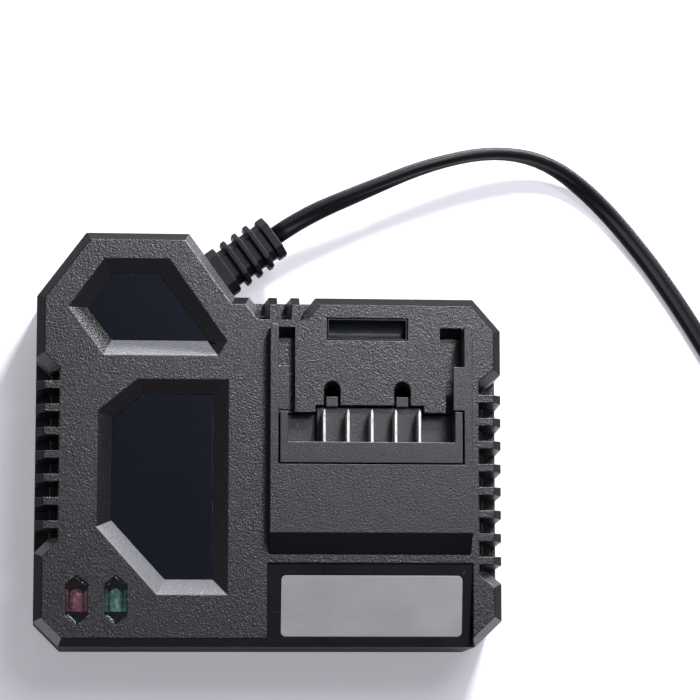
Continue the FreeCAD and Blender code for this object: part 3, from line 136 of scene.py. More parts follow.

# Grained mouldings: colour setting, its tint, width and height against the case's grain, and roughness.
# The front corner facets and the well bevels that face the light are painted lighter, as painted highlights.
GRAINS = {
    "case_grain": ("case", 1.0, 1.0, 1.0, (0.24, 0.38)),
    "case_corner": ("painted_light", 1.0, 1.0, 0.8, (0.32, 0.46)),
    "case_worn": ("painted_light", 0.62, 1.0, 1.0, (0.32, 0.46)),
    "rail_grain": ("rail", 1.0, 0.85, 0.85, (0.27, 0.40)),
    "holder_grain": ("rail", 1.0, 0.7, 0.5, (0.28, 0.40)),
}

# Plain finishes inside: roughness, width of the grain, and what else differs
PLAIN = {
    "lead_insulation": (0.35, 0.0006, {"vary": 0.12}),
    "screw_steel": (0.34, 0.0003, {"metal": 1.0}),
    "plated_metal": (0.20, 0.0004, {"metal": 1.0, "vary": 0.10}),
    "yellow_case": (0.30, 0.0005, {"vary": 0.10, "coat": 0.3}),
    "blue_coat": (0.28, 0.0012, {"depth": 0.00006, "vary": 0.15, "coat": 0.5}),
    "ferrite": (0.55, 0.0003, {"depth": 0.00003, "metal": 0.2}),
    "black_resin": (0.50, 0.0003, {"depth": 0.00002}),
    "capacitor_sleeve": (0.28, 0.0010, {"vary": 0.12, "coat": 0.3}),
    "heatsink_aluminium": (0.36, 0.0004, {"metal": 1.0, "vary": 0.12}),
    "bobbin_plastic": (0.48, 0.0005, {"depth": 0.00002}),
}

# Where most of a noise's values lie, for fine marks and for slow clouds
GRAIN_SPAN = (0.30, 0.70)
CLOUD_SPAN = (0.35, 0.70)

# The Mix node's sockets for colours
MIX_SHARE, MIX_FIRST, MIX_SECOND, MIX_RESULT = 0, 6, 7, 2

# The studio: area lamps as name, setting, place, width, depth and colour, and what they aim at
LAMPS = (
    ("key", "key", (0.24, 0.57, 0.73), 0.09, 0.09, (0.98, 0.98, 1.0)),
    ("low_back", "low", (0.25, 0.62, 0.052), 0.90, 0.10, (0.94, 0.95, 1.0)),
    ("overhead", "over", (0.22, 0.30, 0.97), 0.20, 0.20, (0.88, 0.89, 1.0)),
)
LAMP_AIM = (0.0, 0.0, 0.04)
SENSOR_WIDTH = 36.0
NEAR_CLIP = 0.01
FLOOR_HALF = 3.0
FLOOR_GLOW = (0.95, 0.90, 1.0, 1.0)
SKY_LIGHT = (0.93, 0.90, 1.0)
WHITE = (1.0, 1.0, 1.0)


def length_setting(label, description, value):
    """A length in metres."""
    return FloatProperty(name=label, description=description, default=value, unit="LENGTH")


def angle_setting(label, description, degrees):
    """An angle, given in degrees."""
    value = math.radians(degrees)
    return FloatProperty(name=label, description=description, default=value, subtype="ANGLE")


def number_setting(label, description, value):
    """A bare number."""
    return FloatProperty(name=label, description=description, default=value)


def vector_setting(label, description, value, kind="COLOR"):
    """A colour, or three numbers of another kind."""
    return FloatVectorProperty(name=label, description=description, default=value, size=3, subtype=kind)


class CordSizes(bpy.types.PropertyGroup):
    """Sizes of the flat twin cord."""

    core: length_setting("Core", "Diameter of each of the two sheathed cores", 0.0037)
    apart: length_setting("Apart", "Distance between the middles of the two cores", 0.0025)
    groove_at: angle_setting("Groove", "Angle round a core at which the groove begins", 123)
    points: IntProperty(name="Points", description="Points round half of the cord", default=13, min=6)
    edge_on: length_setting("Edge on", "How far along the cord it stands on edge", 0.080)
    flat_again: length_setting("Flat again", "How far along the cord it lies flat again", 0.145)
    roll: angle_setting("Roll", "How far it turns about its line at the most", 86)
    length: length_setting("Length", "Real length outside the strain relief", 1.526)


class PlugSizes(bpy.types.PropertyGroup):
    """Sizes of the mains plug."""

    length: length_setting("Length", "From the cord's entry to the face with the pins", 0.0360)
    thickness: length_setting("Thickness", "Room that the body takes over the table", 0.0137)
    pin_length: length_setting("Pin", "How far the pins stand out", 0.0190)
    pin_radius: length_setting("Pin radius", "Radius of the bare metal end", 0.0020)
    pin_spacing: length_setting("Spacing", "Distance between the pins", 0.0190)
    sleeve_length: length_setting("Sleeve", "Length of each pin's insulating sleeve", 0.0100)


class TieSizes(bpy.types.PropertyGroup):
    """Sizes of the strap round the coil."""

    width: length_setting("Width", "Width of the strap", 0.0090)
    thickness: length_setting("Thickness", "Thickness of the strap", 0.0004)
    slack: length_setting("Slack", "Room between the strap and the turns", 0.0004)
    squareness: number_setting("Squareness", "How square the strap goes round the turns", 9.0)


class LampSizes(bpy.types.PropertyGroup):
    """Sizes of the indicator lamps."""

    start: length_setting("Start", "Where the collar begins, from the window's middle", -0.0036)
    collar: length_setting("Collar", "Length of the collar", 0.0009)
    collar_radius: length_setting("Collar radius", "Radius of the collar", 0.0027)
    barrel: length_setting("Barrel", "Length up to the dome", 0.0050)
    dome: length_setting("Dome", "Radius of the dome and the barrel", 0.0024)
    taper: number_setting("Taper", "Width of the collar's end face against the dome", 0.92)


class CaseFinish(bpy.types.PropertyGroup):
    """Colours and grain of the mouldings."""

    case: vector_setting("Case", "Colour of the grained case", (0.0095, 0.0096, 0.0112))
    polished: vector_setting("Polished", "Colour of the smooth bevels and panel", (0.0050, 0.0048, 0.0060))
    # Painted highlight: a light grey that the front corner facets and the lit well bevels take, as if they
    # caught the light.
    painted_light: vector_setting("Painted light", "Colour of the case where it is rubbed light", (0.30, 0.30, 0.32))
    rail: vector_setting("Rail", "Colour of the battery rails", (0.0105, 0.0105, 0.0122))
    cell: length_setting("Grain", "Width of a grain on the case", 0.00056)
    relief: length_setting("Relief", "Height of the grain", 0.00016)
    edge: length_setting("Edge", "Width of the rounding on the mouldings' edges", 0.00030)


class StudioSettings(bpy.types.PropertyGroup):
    """Camera, floor and light."""

    lens: number_setting("Lens", "Focal length in millimetres", 141.4)
    eye: vector_setting("Eye", "Where the camera stands", (-0.0456, -0.0754, 0.921), "TRANSLATION")
    gaze: vector_setting("Gaze", "Where the camera looks", (0.0804, 0.1174, -0.9898), "DIRECTION")
    floor: vector_setting("Floor", "Colour of the floor", (0.86, 0.86, 0.87))
    floor_lift: number_setting("Floor lift", "Light that the white floor adds for the camera", 0.33)
    sky: number_setting("Sky", "Strength of the light from all round", 0.14)
    key: number_setting("Key", "Power of the key lamp in watts", 6.9)
    low: number_setting("Low", "Power of the low back lamp in watts", 13.0)
    over: number_setting("Over", "Power of the overhead lamp in watts", 2.1)


# Nodes of a material

def feed(tree, socket, value):
    """A link from another node into a socket, or a value on it."""
    if isinstance(value, bpy.types.NodeSocket):
        tree.links.new(value, socket)
    else:
        socket.default_value = value


def put(tree, kind, inputs=None, **settings):
    """A node with its settings, and its inputs as values or as links from other nodes."""
    node = tree.nodes.new(kind)
    for name, value in settings.items():
        setattr(node, name, value)
    for key, value in (inputs or {}).items():
        feed(tree, node.inputs[key], value)
    return node


def place(tree, scale=(1.0, 1.0, 1.0), turn=(0.0, 0.0, 0.0)):
    """The piece's own coordinates, stretched or turned."""
    coords = put(tree, "ShaderNodeTexCoord").outputs["Object"]
    inputs = {"Vector": coords, "Scale": scale, "Rotation": turn}
    return put(tree, "ShaderNodeMapping", inputs).outputs["Vector"]


def noise(tree, where, cell, detail=2.0, rough=0.5):
    """Soft noise with cells of a real width."""
    inputs = {"Vector": where, "Scale": 1 / cell, "Detail": detail, "Roughness": rough}
    return put(tree, "ShaderNodeTexNoise", inputs).outputs["Fac"]


def cells(tree, where, cell):
    """Distance to the nearest of scattered points, with cells of a real width."""
    inputs = {"Vector": where, "Scale": 1 / cell}
    return put(tree, "ShaderNodeTexVoronoi", inputs, feature="F1").outputs["Distance"]


def spread(tree, value, low, high, to_low=0.0, to_high=1.0):
    """A value's range carried to another, held at its ends."""
    inputs = {"Value": value, "From Min": low, "From Max": high, "To Min": to_low, "To Max": to_high}
    return put(tree, "ShaderNodeMapRange", inputs).outputs["Result"]


def sums(tree, operation, first, second):
    """Arithmetic on two values."""
    return put(tree, "ShaderNodeMath", {0: first, 1: second}, operation=operation).outputs["Value"]


def opaque(colour):
    """A colour with its alpha, or a link as it is."""
    return colour if isinstance(colour, bpy.types.NodeSocket) else (*colour[:3], 1.0)


def blend(tree, share, first, second):
    """A mix of two colours."""
    inputs = {MIX_SHARE: share, MIX_FIRST: opaque(first), MIX_SECOND: opaque(second)}
    return put(tree, "ShaderNodeMix", inputs, data_type="RGBA").outputs[MIX_RESULT]


def raised(tree, height, depth, strength=1.0):
    """A bump from a height that runs from 0 to 1 over a real depth."""
    inputs = {"Height": height, "Strength": strength, "Distance": depth}
    return put(tree, "ShaderNodeBump", inputs).outputs["Normal"]


def finish(name, gloss=0.5, ior=1.5, metal=0.0, coat=0.0, coat_rough=0.1):
    """A material whose constant values sit on the shader's own sockets, with its tree and its shader."""
    material = bpy.data.materials.new(name)
    material.use_nodes = True
    tree = material.node_tree
    shader = tree.nodes["Principled BSDF"]
    constants = {
        "Specular IOR Level": gloss, "IOR": ior, "Metallic": metal,
        "Coat Weight": coat, "Coat Roughness": coat_rough,
    }
    for key, value in constants.items():
        shader.inputs[key].default_value = value
    return material, tree, shader


def wire(tree, shader, colour, rough=None, normal=None):
    """Colour, roughness and normal into the shader, as links or values."""
    given = {"Base Color": opaque(colour), "Roughness": rough, "Normal": normal}
    for key, value in given.items():
        if value is not None:
            feed(tree, shader.inputs[key], value)


def shade(colour, factor):
    """A colour made darker or lighter by a factor."""
    return tuple(min(value * factor, 1.0) for value in colour[:3])


def clouded(tree, field, colour, dark, light):
    """A colour that runs from a darker to a lighter shade of itself with a noise."""
    return blend(tree, spread(tree, field, *CLOUD_SPAN), shade(colour, dark), shade(colour, light))


def flecked(tree, tone, field, low, high, share, colour):
    """Flecks of another colour over a tone, where a noise is near its highest."""
    fleck = sums(tree, "MULTIPLY", spread(tree, field, low, high), share)
    return blend(tree, fleck, tone, colour)


# Finishes of the mouldings

def grained(name, colour, cell, depth, rough=(0.24, 0.38), gloss=0.8):
    """Spark-eroded grain: rounded peaks of two sizes, duller in the hollows, with a slow cloudiness; the
    peaks are painted lighter, as painted highlights on the grain.
    """
    material, tree, shader = finish(name, gloss)
    where = place(tree)
    coarse = noise(tree, where, cell, 3.0, 0.62)
    pits = cells(tree, where, cell * 1.25)
    height = sums(tree, "SUBTRACT", coarse, sums(tree, "MULTIPLY", pits, 0.35))
    cloud = noise(tree, where, 0.030, 3.0, 0.55)
    # Painted highlight: the peaks, high values of the same noise as the bump, are coloured lighter than the
    # hollows.
    tone = clouded(tree, coarse, colour, 0.80, 1.35)
    tone = blend(tree, spread(tree, cloud, *CLOUD_SPAN, 0.0, 0.30), tone, shade(colour, 1.15))
    dust = noise(tree, where, 0.0011, rough=0.4)
    tone = flecked(tree, tone, dust, 0.735, 0.78, 0.30, (0.16, 0.16, 0.17))
    peaks_smooth, hollows_dull = rough
    gloss_map = spread(tree, coarse, *GRAIN_SPAN, hollows_dull, peaks_smooth)
    wire(tree, shader, tone, gloss_map, raised(tree, height, depth))
    return material


def polished(name, colour, rough=0.36, gloss=0.07):
    """Smooth moulding: faint flow marks, hair scratches and a little dust."""
    material, tree, shader = finish(name, gloss)
    where = place(tree)
    flow = noise(tree, place(tree, (1.0, 0.25, 1.0)), 0.012, 3.0)
    hair = noise(tree, place(tree, (1.0, 0.03, 1.0), (0.0, 0.0, 0.6)), 0.00025)
    dust = noise(tree, where, 0.0014, rough=0.4)
    tone = clouded(tree, flow, colour, 0.85, 1.25)
    tone = flecked(tree, tone, hair, 0.69, 0.75, 0.12, (0.10, 0.10, 0.10))
    tone = flecked(tree, tone, dust, 0.755, 0.79, 0.35, (0.20, 0.20, 0.21))
    marks = spread(tree, flow, 0.30, 0.75, rough - 0.05, rough + 0.06)
    wire(tree, shader, tone, marks, raised(tree, noise(tree, where, 0.0035), 0.00002, 0.5))
    return material


def moulded(name):
    """A grained moulding from its row in the table."""
    setting, tint, wide, high, rough = GRAINS[name]
    look = bpy.context.scene.charger_finish
    return grained(name, shade(getattr(look, setting), tint), look.cell * wide, look.relief * high, rough)


def case_polished():
    """The smooth bevels."""
    return polished("case_polished", bpy.context.scene.charger_finish.polished)


def case_slope():
    """The faces that slope to the front, smooth but duller."""
    look = bpy.context.scene.charger_finish
    return polished("case_slope", shade(look.polished, 1.8), 0.42, 0.26)


def blade_metal():
    """Plated sheet with marks drawn along the blade."""
    material, tree, shader = finish("blade_metal", metal=1.0)
    along = place(tree, (1.0, 0.06, 1.0))
    marks = noise(tree, along, 0.00018, 3.0, 0.6)
    stain = noise(tree, place(tree), 0.0022, 3.0, 0.6)
    tone = blend(tree, spread(tree, stain, 0.42, 0.72), (0.86, 0.84, 0.80), (0.55, 0.53, 0.49))
    rough = spread(tree, marks, *GRAIN_SPAN, 0.26, 0.48)
    wire(tree, shader, tone, rough, raised(tree, marks, 0.00001, 0.7))
    return material


def pocket_plastic():
    """Glossy trough with wiped streaks."""
    material, tree, shader = finish("pocket_gloss", 0.3)
    streaks = noise(tree, place(tree, (0.10, 1.0, 1.0)), 0.0007, 4.0, 0.65)
    smear = noise(tree, place(tree), 0.006, 3.0)
    tone = blend(tree, spread(tree, streaks, 0.52, 0.74), (0.022, 0.025, 0.036), (0.075, 0.083, 0.105))
    rough = spread(tree, smear, *CLOUD_SPAN, 0.42, 0.55)
    wire(tree, shader, tone, rough, raised(tree, streaks, 0.00001, 0.6))
    return material


def plate_film():
    """Dark satin film let into the wells."""
    material, tree, shader = finish("plate_film", 0.22)
    where = place(tree)
    cloud = noise(tree, where, 0.025, 3.0)
    fine = noise(tree, where, 0.0005)
    tone = blend(tree, spread(tree, cloud, *CLOUD_SPAN), (0.0060, 0.0092, 0.0150), (0.0074, 0.0110, 0.0175))
    rough = spread(tree, fine, *GRAIN_SPAN, 0.17, 0.22)
    wire(tree, shader, tone, rough, raised(tree, fine, 0.000004, 0.5))
    return material


def nameplate_film():
    """Silver-grey satin film, with a fine cross-brushed lay."""
    material, tree, shader = finish("nameplate_film", 0.5, metal=0.35)
    brushed = noise(tree, place(tree, (0.04, 1.0, 1.0)), 0.00016)
    cloud = noise(tree, place(tree, (1.0, 1.4, 1.0)), 0.018, 3.0)
    tone = blend(tree, spread(tree, cloud, *CLOUD_SPAN), (0.470, 0.464, 0.472), (0.560, 0.553, 0.560))
    tone = blend(tree, spread(tree, brushed, 0.30, 0.75, 0.0, 0.25), tone, (0.62, 0.615, 0.62))
    rough = spread(tree, brushed, *GRAIN_SPAN, 0.42, 0.52)
    wire(tree, shader, tone, rough, raised(tree, brushed, 0.000004, 0.6))
    return material


def clear_lens():
    """Clear moulded window, a little cloudy."""
    material, tree, shader = finish("clear_lens", 0.5, 1.49)
    shader.inputs["Transmission Weight"].default_value = 1.0
    haze = noise(tree, place(tree), 0.0016)
    rough = spread(tree, haze, 0.40, 0.75, 0.06, 0.16)
    wire(tree, shader, (0.88, 0.89, 0.90), rough, raised(tree, haze, 0.00002, 0.5))
    return material


def lamp_resin(name, core, rim):
    """An unlit lamp, tinted, and milky where its resin is thick."""
    material, tree, shader = finish(name)
    shader.inputs["Subsurface Weight"].default_value = 0.25
    shader.inputs["Subsurface Radius"].default_value = (0.002, 0.002, 0.002)
    swirl = noise(tree, place(tree), 0.0016, 3.0, 0.55)
    tone = blend(tree, spread(tree, swirl, 0.38, 0.64), core, rim)
    wire(tree, shader, tone, spread(tree, swirl, *GRAIN_SPAN, 0.14, 0.28))
    return material


def rubber(name, colour, rough, cell=0.0009, depth=0.00002):
    """Satin rubber with a soft skin and a faint bloom."""
    material, tree, shader = finish(name, 0.22)
    shader.inputs["Sheen Weight"].default_value = 0.02
    shader.inputs["Sheen Roughness"].default_value = 0.4
    where = place(tree)
    skin = noise(tree, where, cell, 3.0)
    bloom = noise(tree, where, 0.014, 3.0, 0.55)
    tone = clouded(tree, bloom, colour, 0.85, 1.3)
    marks = spread(tree, skin, *GRAIN_SPAN, rough - 0.05, rough + 0.07)
    wire(tree, shader, tone, marks, raised(tree, skin, depth, 0.7))
    return material


def cord_rubber():
    """The cord's sheath and its strain relief."""
    return rubber("cord_rubber", (0.0075, 0.0073, 0.0100), 0.42)


def foot_rubber():
    """The feet."""
    return rubber("foot_rubber", COLOUR_OF["foot_rubber"], 0.75, 0.0004, 0.00003)


def plug_plastic():
    """The plug's satin moulding."""
    return grained("plug_grain", COLOUR_OF["plug_plastic"], 0.00035, 0.00004, (0.38, 0.50))


# Finishes of the parts inside

def plain(slot, rough, cell, depth=0.00001, metal=0.0, vary=0.25, coat=0.0):
    """A part's own colour with fine grain and a slow change of tone."""
    colour = COLOUR_OF[slot]
    material, tree, shader = finish(slot, metal=metal, coat=coat)
    where = place(tree)
    fine = noise(tree, where, cell, 3.0, 0.55)
    slow = noise(tree, where, cell * 14)
    tone = blend(tree, spread(tree, slow, *GRAIN_SPAN), shade(colour, 1 - vary), shade(colour, 1 + vary))
    marks = spread(tree, fine, *GRAIN_SPAN, max(rough - 0.06, 0.04), rough + 0.08)
    wire(tree, shader, tone, marks, raised(tree, fine, depth, 0.8))
    return material


def board_laminate():
    """Green lacquer over a woven laminate."""
    material, tree, shader = finish("board_laminate", coat=0.5, coat_rough=0.12)
    colour = COLOUR_OF["board_laminate"]
    over = put(tree, "ShaderNodeTexWave", {"Vector": place(tree), "Scale": 320.0, "Distortion": 0.6})
    across = place(tree, turn=(0.0, 0.0, math.pi / 2))
    under = put(tree, "ShaderNodeTexWave", {"Vector": across, "Scale": 320.0, "Distortion": 0.6})
    weave = sums(tree, "MULTIPLY", over.outputs["Fac"], under.outputs["Fac"])
    tone = blend(tree, spread(tree, weave, 0.0, 1.0), shade(colour, 0.75), shade(colour, 1.2))
    wire(tree, shader, tone, 0.35, raised(tree, weave, 0.00001, 0.5))
    return material


def fuse_glass():
    """The fuse's glass tube."""
    material, tree, shader = finish("fuse_glass")
    shader.inputs["Transmission Weight"].default_value = 1.0
    haze = noise(tree, place(tree), 0.002)
    wire(tree, shader, (0.95, 0.97, 0.97), spread(tree, haze, *GRAIN_SPAN, 0.0, 0.05))
    return material


def enamelled_copper():
    """Turns of enamelled wire seen as fine ridges, with painted shade in the grooves between them and lighter
    crests.
    """
    material, tree, shader = finish("enamelled_copper", metal=0.7, coat=0.6)
    turns = put(tree, "ShaderNodeTexWave", {"Vector": place(tree), "Scale": 520.0}, bands_direction="Z")
    ridge = turns.outputs["Fac"]
    colour = COLOUR_OF["enamelled_copper"]
    # Painted shade and highlight: the grooves between the turns, low values of the same wave as the bump, are
    # coloured darker and the crests lighter.
    tone = blend(tree, ridge, shade(colour, 0.45), shade(colour, 1.15))
    wire(tree, shader, tone, 0.32, raised(tree, ridge, 0.00012))
    return material


FINISHES = {
    make.__name__: make for make in (
        blade_metal, pocket_plastic, plate_film, nameplate_film, clear_lens, board_laminate,
        fuse_glass, enamelled_copper, cord_rubber, foot_rubber, plug_plastic,
    )
}
FINISHES["case_plastic"] = lambda: moulded("case_grain")
FINISHES["rail_plastic"] = lambda: moulded("rail_grain")
FINISHES["holder_plastic"] = lambda: moulded("holder_grain")
LAMP_TINTS = {
    "red_lamp_resin": ((0.26, 0.055, 0.085), (0.50, 0.24, 0.29)),
    "green_lamp_resin": ((0.075, 0.26, 0.19), (0.27, 0.52, 0.43)),
}
# Painted shade: the indicator board under the windows takes the black resin finish in place of its green
# laminate, to look like the shade inside the case.
PAINTED_SHADE_UNDER_LENS = {"indicator_board": "black_resin"}
MADE = {}


def material_of(slot):
    """The finish of a material slot, made once."""
    if slot in MADE:
        return MADE[slot]
    if slot in PLAIN:
        rough, cell, others = PLAIN[slot]
        MADE[slot] = plain(slot, rough, cell, **others)
    elif slot in LAMP_TINTS:
        MADE[slot] = lamp_resin(slot, *LAMP_TINTS[slot])
    else:
        MADE[slot] = FINISHES[slot]()
    return MADE[slot]


# Making pieces

def add_piece(name, mesh, slot, *replaced):
    """A piece that rides on the body, takes its finish from a slot and stands for CAD nodes."""
    mesh.materials.append(material_of(slot))
    piece = bpy.data.objects.new(name, mesh)
    bpy.context.scene.collection.objects.link(piece)
    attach(piece, BODY)
    if replaced:
        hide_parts(*replaced)
    return piece


def mesh_of(name, vertices, faces, smooth=True):
    """A mesh from an array of points and a list of faces."""
    mesh = bpy.data.meshes.new(name)
    mesh.from_pydata(vertices.tolist(), [], faces)
    mesh.polygons.foreach_set("use_smooth", np.full(len(faces), smooth))
    mesh.update()
    return mesh


def skin(rings, sides, loop=False):
    """Quads between neighbouring rings of one closed section, and a flat face over each end of a run
    that isn't a loop."""
    spans = rings if loop else rings - 1
    ring, side = np.meshgrid(np.arange(spans), np.arange(sides), indexing="ij")
    ahead = (ring + 1) % rings
    beside = (side + 1) % sides
    rows = [ring * sides + side, ring * sides + beside, ahead * sides + beside, ahead * sides + side]
    faces = np.stack(rows, axis=-1).reshape(-1, 4).tolist()
    if not loop:
        faces.append(list(range(sides))[::-1])
        faces.append(list(range((rings - 1) * sides, rings * sides)))
    return faces


def carried(path, section, roll):
    """A section carried along a path: each ring is the section's first coordinate times the sideways
    direction plus its second times the direction over it, both turned by the roll about the path."""
    ahead = np.gradient(path, axis=0)
    ahead /= np.linalg.norm(ahead, axis=1)[:, None]
    across = np.cross(UP, ahead)
    across /= np.linalg.norm(across, axis=1)[:, None]
    over = np.cross(ahead, across)
    turn = roll[:, None]
    wide = across * np.cos(turn) + over * np.sin(turn)
    tall = over * np.cos(turn) - across * np.sin(turn)
    rings = path[:, None, :] + section[None, :, 0, None] * wide[:, None, :]
    rings = rings + section[None, :, 1, None] * tall[:, None, :]
    return rings.reshape(-1, 3)


def rounded_copy(node, edge, segments=2, limit=22.0, sharp=()):
    """A CAD piece's mesh with its seams merged, flat faces joined and its edges rounded, but for those
    inside the sharp areas, each given as low x, high x, low y and high y."""
    work = bmesh.new()
    work.from_mesh(frame["nodes"][node].data)
    bmesh.ops.remove_doubles(work, verts=work.verts, dist=1e-6)
    bmesh.ops.dissolve_limit(work, angle_limit=math.radians(0.5), verts=work.verts, edges=work.edges)
    weight = work.edges.layers.float.new("bevel_weight_edge")
    for line in work.edges:
        middle = (line.verts[0].co + line.verts[1].co) / 2
        kept = any(x0 < middle.x < x1 and y0 < middle.y < y1 for x0, x1, y0, y1 in sharp)
        edged = line.calc_face_angle(0.0) > math.radians(limit)
        line[weight] = float(edged and not kept)
        line.smooth = not (edged and kept)
    mesh = bpy.data.meshes.new(node)
    work.to_mesh(mesh)
    work.free()
    if "custom_normal" in mesh.attributes:
        mesh.attributes.remove(mesh.attributes["custom_normal"])
    mesh.materials.clear()
    mesh.polygons.foreach_set("use_smooth", np.full(len(mesh.polygons), True))
    mesh.polygons.foreach_set("material_index", np.zeros(len(mesh.polygons), np.int32))
    piece = add_piece(node + "_finished", mesh, SLOT_OF[node], node)
    bevel = piece.modifiers.new("edges", "BEVEL")
    bevel.limit_method = "WEIGHT"
    bevel.width = edge
    bevel.segments = segments
    bevel.use_clamp_overlap = False
    bevel.harden_normals = True
    return piece


def between(values, low, high):
    """Which values lie between two bounds."""
    return (values > low) & (values < high)


def faces_of(mesh):
    """Centres and outward normals of a mesh's faces, as arrays."""
    count = len(mesh.polygons)
    centres = np.empty(count * 3)
    normals = np.empty(count * 3)
    mesh.polygons.foreach_get("center", centres)
    mesh.polygons.foreach_get("normal", normals)
    return centres.reshape(-1, 3), normals.reshape(-1, 3)


def repaint(mesh, chosen, material):
    """Gives the chosen faces another material."""
    index = np.zeros(len(mesh.polygons), np.int32)
    mesh.polygons.foreach_get("material_index", index)
    index[chosen] = len(mesh.materials)
    mesh.materials.append(material)
    mesh.polygons.foreach_set("material_index", index)


def turned(along, width, sides):
    """Rings round an axis: each ring's points lie at (along, width cos a, width sin a)."""
    angle = np.linspace(0, 2 * math.pi, sides, endpoint=False)
    across, up = width[:, None] * np.cos(angle), width[:, None] * np.sin(angle)
    ahead = np.broadcast_to(along[:, None], across.shape)
    return np.stack([ahead, across, up], axis=-1).reshape(-1, 3)


def turned_piece(name, slot, points, faces, angle, *replaced):
    """A smooth turned piece whose edges over an angle in degrees stay sharp."""
    mesh = mesh_of(name, points, faces)
    mesh.set_sharp_from_angle(angle=math.radians(angle))
    add_piece(name, mesh, slot, *replaced)


def cord_section(sizes):
    """Two round cores side by side: each lobe runs round its own middle and stops at the groove."""
    half, middle = sizes.core / 2, sizes.apart / 2
    angle = np.linspace(-sizes.groove_at, sizes.groove_at, sizes.points)
    right = np.stack([middle + half * np.cos(angle), half * np.sin(angle)], axis=1)
    return np.concatenate([right, -right])


def plug_height():
    """Height of the plug's middle over the table."""
    return bpy.context.scene.charger_plug.thickness / 2


def plug_place():
    """Where the cord enters the plug, and the plug's own directions: ahead, across and up."""
    way = np.array([-math.sin(COIL_ENTRY), math.cos(COIL_ENTRY), 0.0])
    start = np.array([
        COIL_CENTRE[0] + COIL_OUTER * math.cos(COIL_ENTRY),
        COIL_CENTRE[1] + COIL_OUTER * math.sin(COIL_ENTRY),
        plug_height(),
    ])
    start[:2] += way[:2] * PLUG_REACH
    return start, way, np.cross(UP, way)


def from_plug(points):
    """Points given as (ahead, across, up) from the cord's entry, taken to the plug's place."""
    start, way, across = plug_place()
    return start + points[:, :1] * way + points[:, 1:2] * across + points[:, 2:] * UP


# Operators

class CHARGER_OT_studio(bpy.types.Operator):
    """Camera at the photograph's angle, pale floor and soft light"""
    bl_idname = "charger.studio"
    bl_label = "Studio"

    def execute(self, context):
        studio = context.scene.charger_studio
        self.camera(context, studio)
        self.floor(context, studio)
        self.world(context, studio)
        for name, setting, where, width, depth, colour in LAMPS:
            self.lamp(context, name, getattr(studio, setting), where, width, depth, colour)
        context.scene.view_settings.view_transform = "Standard"
        return {"FINISHED"}

    def camera(self, context, studio):
        """A camera at the eye that looks along the gaze, with its sides level."""
        ahead = Vector(studio.gaze).normalized()
        right = Vector((-ahead.z, 0.0, ahead.x)).normalized()
        upward = right.cross(ahead)
        turn = Matrix((right, upward, -ahead)).transposed()
        data = bpy.data.cameras.new("camera")
        data.lens = studio.lens
        data.sensor_width = SENSOR_WIDTH
        data.clip_start = NEAR_CLIP
        camera = bpy.data.objects.new("camera", data)
        camera.matrix_world = Matrix.Translation(studio.eye) @ turn.to_4x4()
        context.scene.collection.objects.link(camera)
        context.scene.camera = camera

    def floor(self, context, studio):
        """A wide square of paper, lifted a little where it is seen straight or through a window."""
        half = FLOOR_HALF
        square = np.array([[-half, -half, 0], [half, -half, 0], [half, half, 0], [-half, half, 0]])
        mesh = mesh_of("floor", square, [[0, 1, 2, 3]], smooth=False)
        floor = bpy.data.objects.new("floor", mesh)
        context.scene.collection.objects.link(floor)
        material, tree, shader = finish("floor", 0.0)
        paper = noise(tree, place(tree), 0.05)
        colour = tuple(studio.floor)
        tone = blend(tree, spread(tree, paper, *GRAIN_SPAN), shade(colour, 0.995), colour)
        wire(tree, shader, tone, 0.9)
        rays = put(tree, "ShaderNodeLightPath").outputs
        seen = sums(tree, "MAXIMUM", rays["Is Camera Ray"], rays["Is Transmission Ray"])
        lift = sums(tree, "MULTIPLY", seen, studio.floor_lift)
        shader.inputs["Emission Color"].default_value = FLOOR_GLOW
        tree.links.new(lift, shader.inputs["Emission Strength"])
        mesh.materials.append(material)

    def world(self, context, studio):
        """Soft light from all round, and a white background behind the floor's edge."""
        world = bpy.data.worlds.new("studio")
        world.use_nodes = True
        tree = world.node_tree
        sky = tree.nodes["Background"]
        seen = put(tree, "ShaderNodeLightPath").outputs["Is Camera Ray"]
        tree.links.new(blend(tree, seen, SKY_LIGHT, WHITE), sky.inputs["Color"])
        tree.links.new(spread(tree, seen, 0.0, 1.0, studio.sky, 1.0), sky.inputs["Strength"])
        context.scene.world = world

    def lamp(self, context, name, power, where, width, depth, colour):
        """A rectangular area lamp that points at the charger."""
        data = bpy.data.lights.new(name, "AREA")
        data.color = colour
        data.shape = "RECTANGLE"
        data.size = width
        data.size_y = depth
        data.energy = power
        lamp = bpy.data.objects.new(name, data)
        lamp.location = where
        aim = Vector(LAMP_AIM) - Vector(where)
        lamp.rotation_euler = aim.to_track_quat("-Z", "Y").to_euler()
        context.scene.collection.objects.link(lamp)


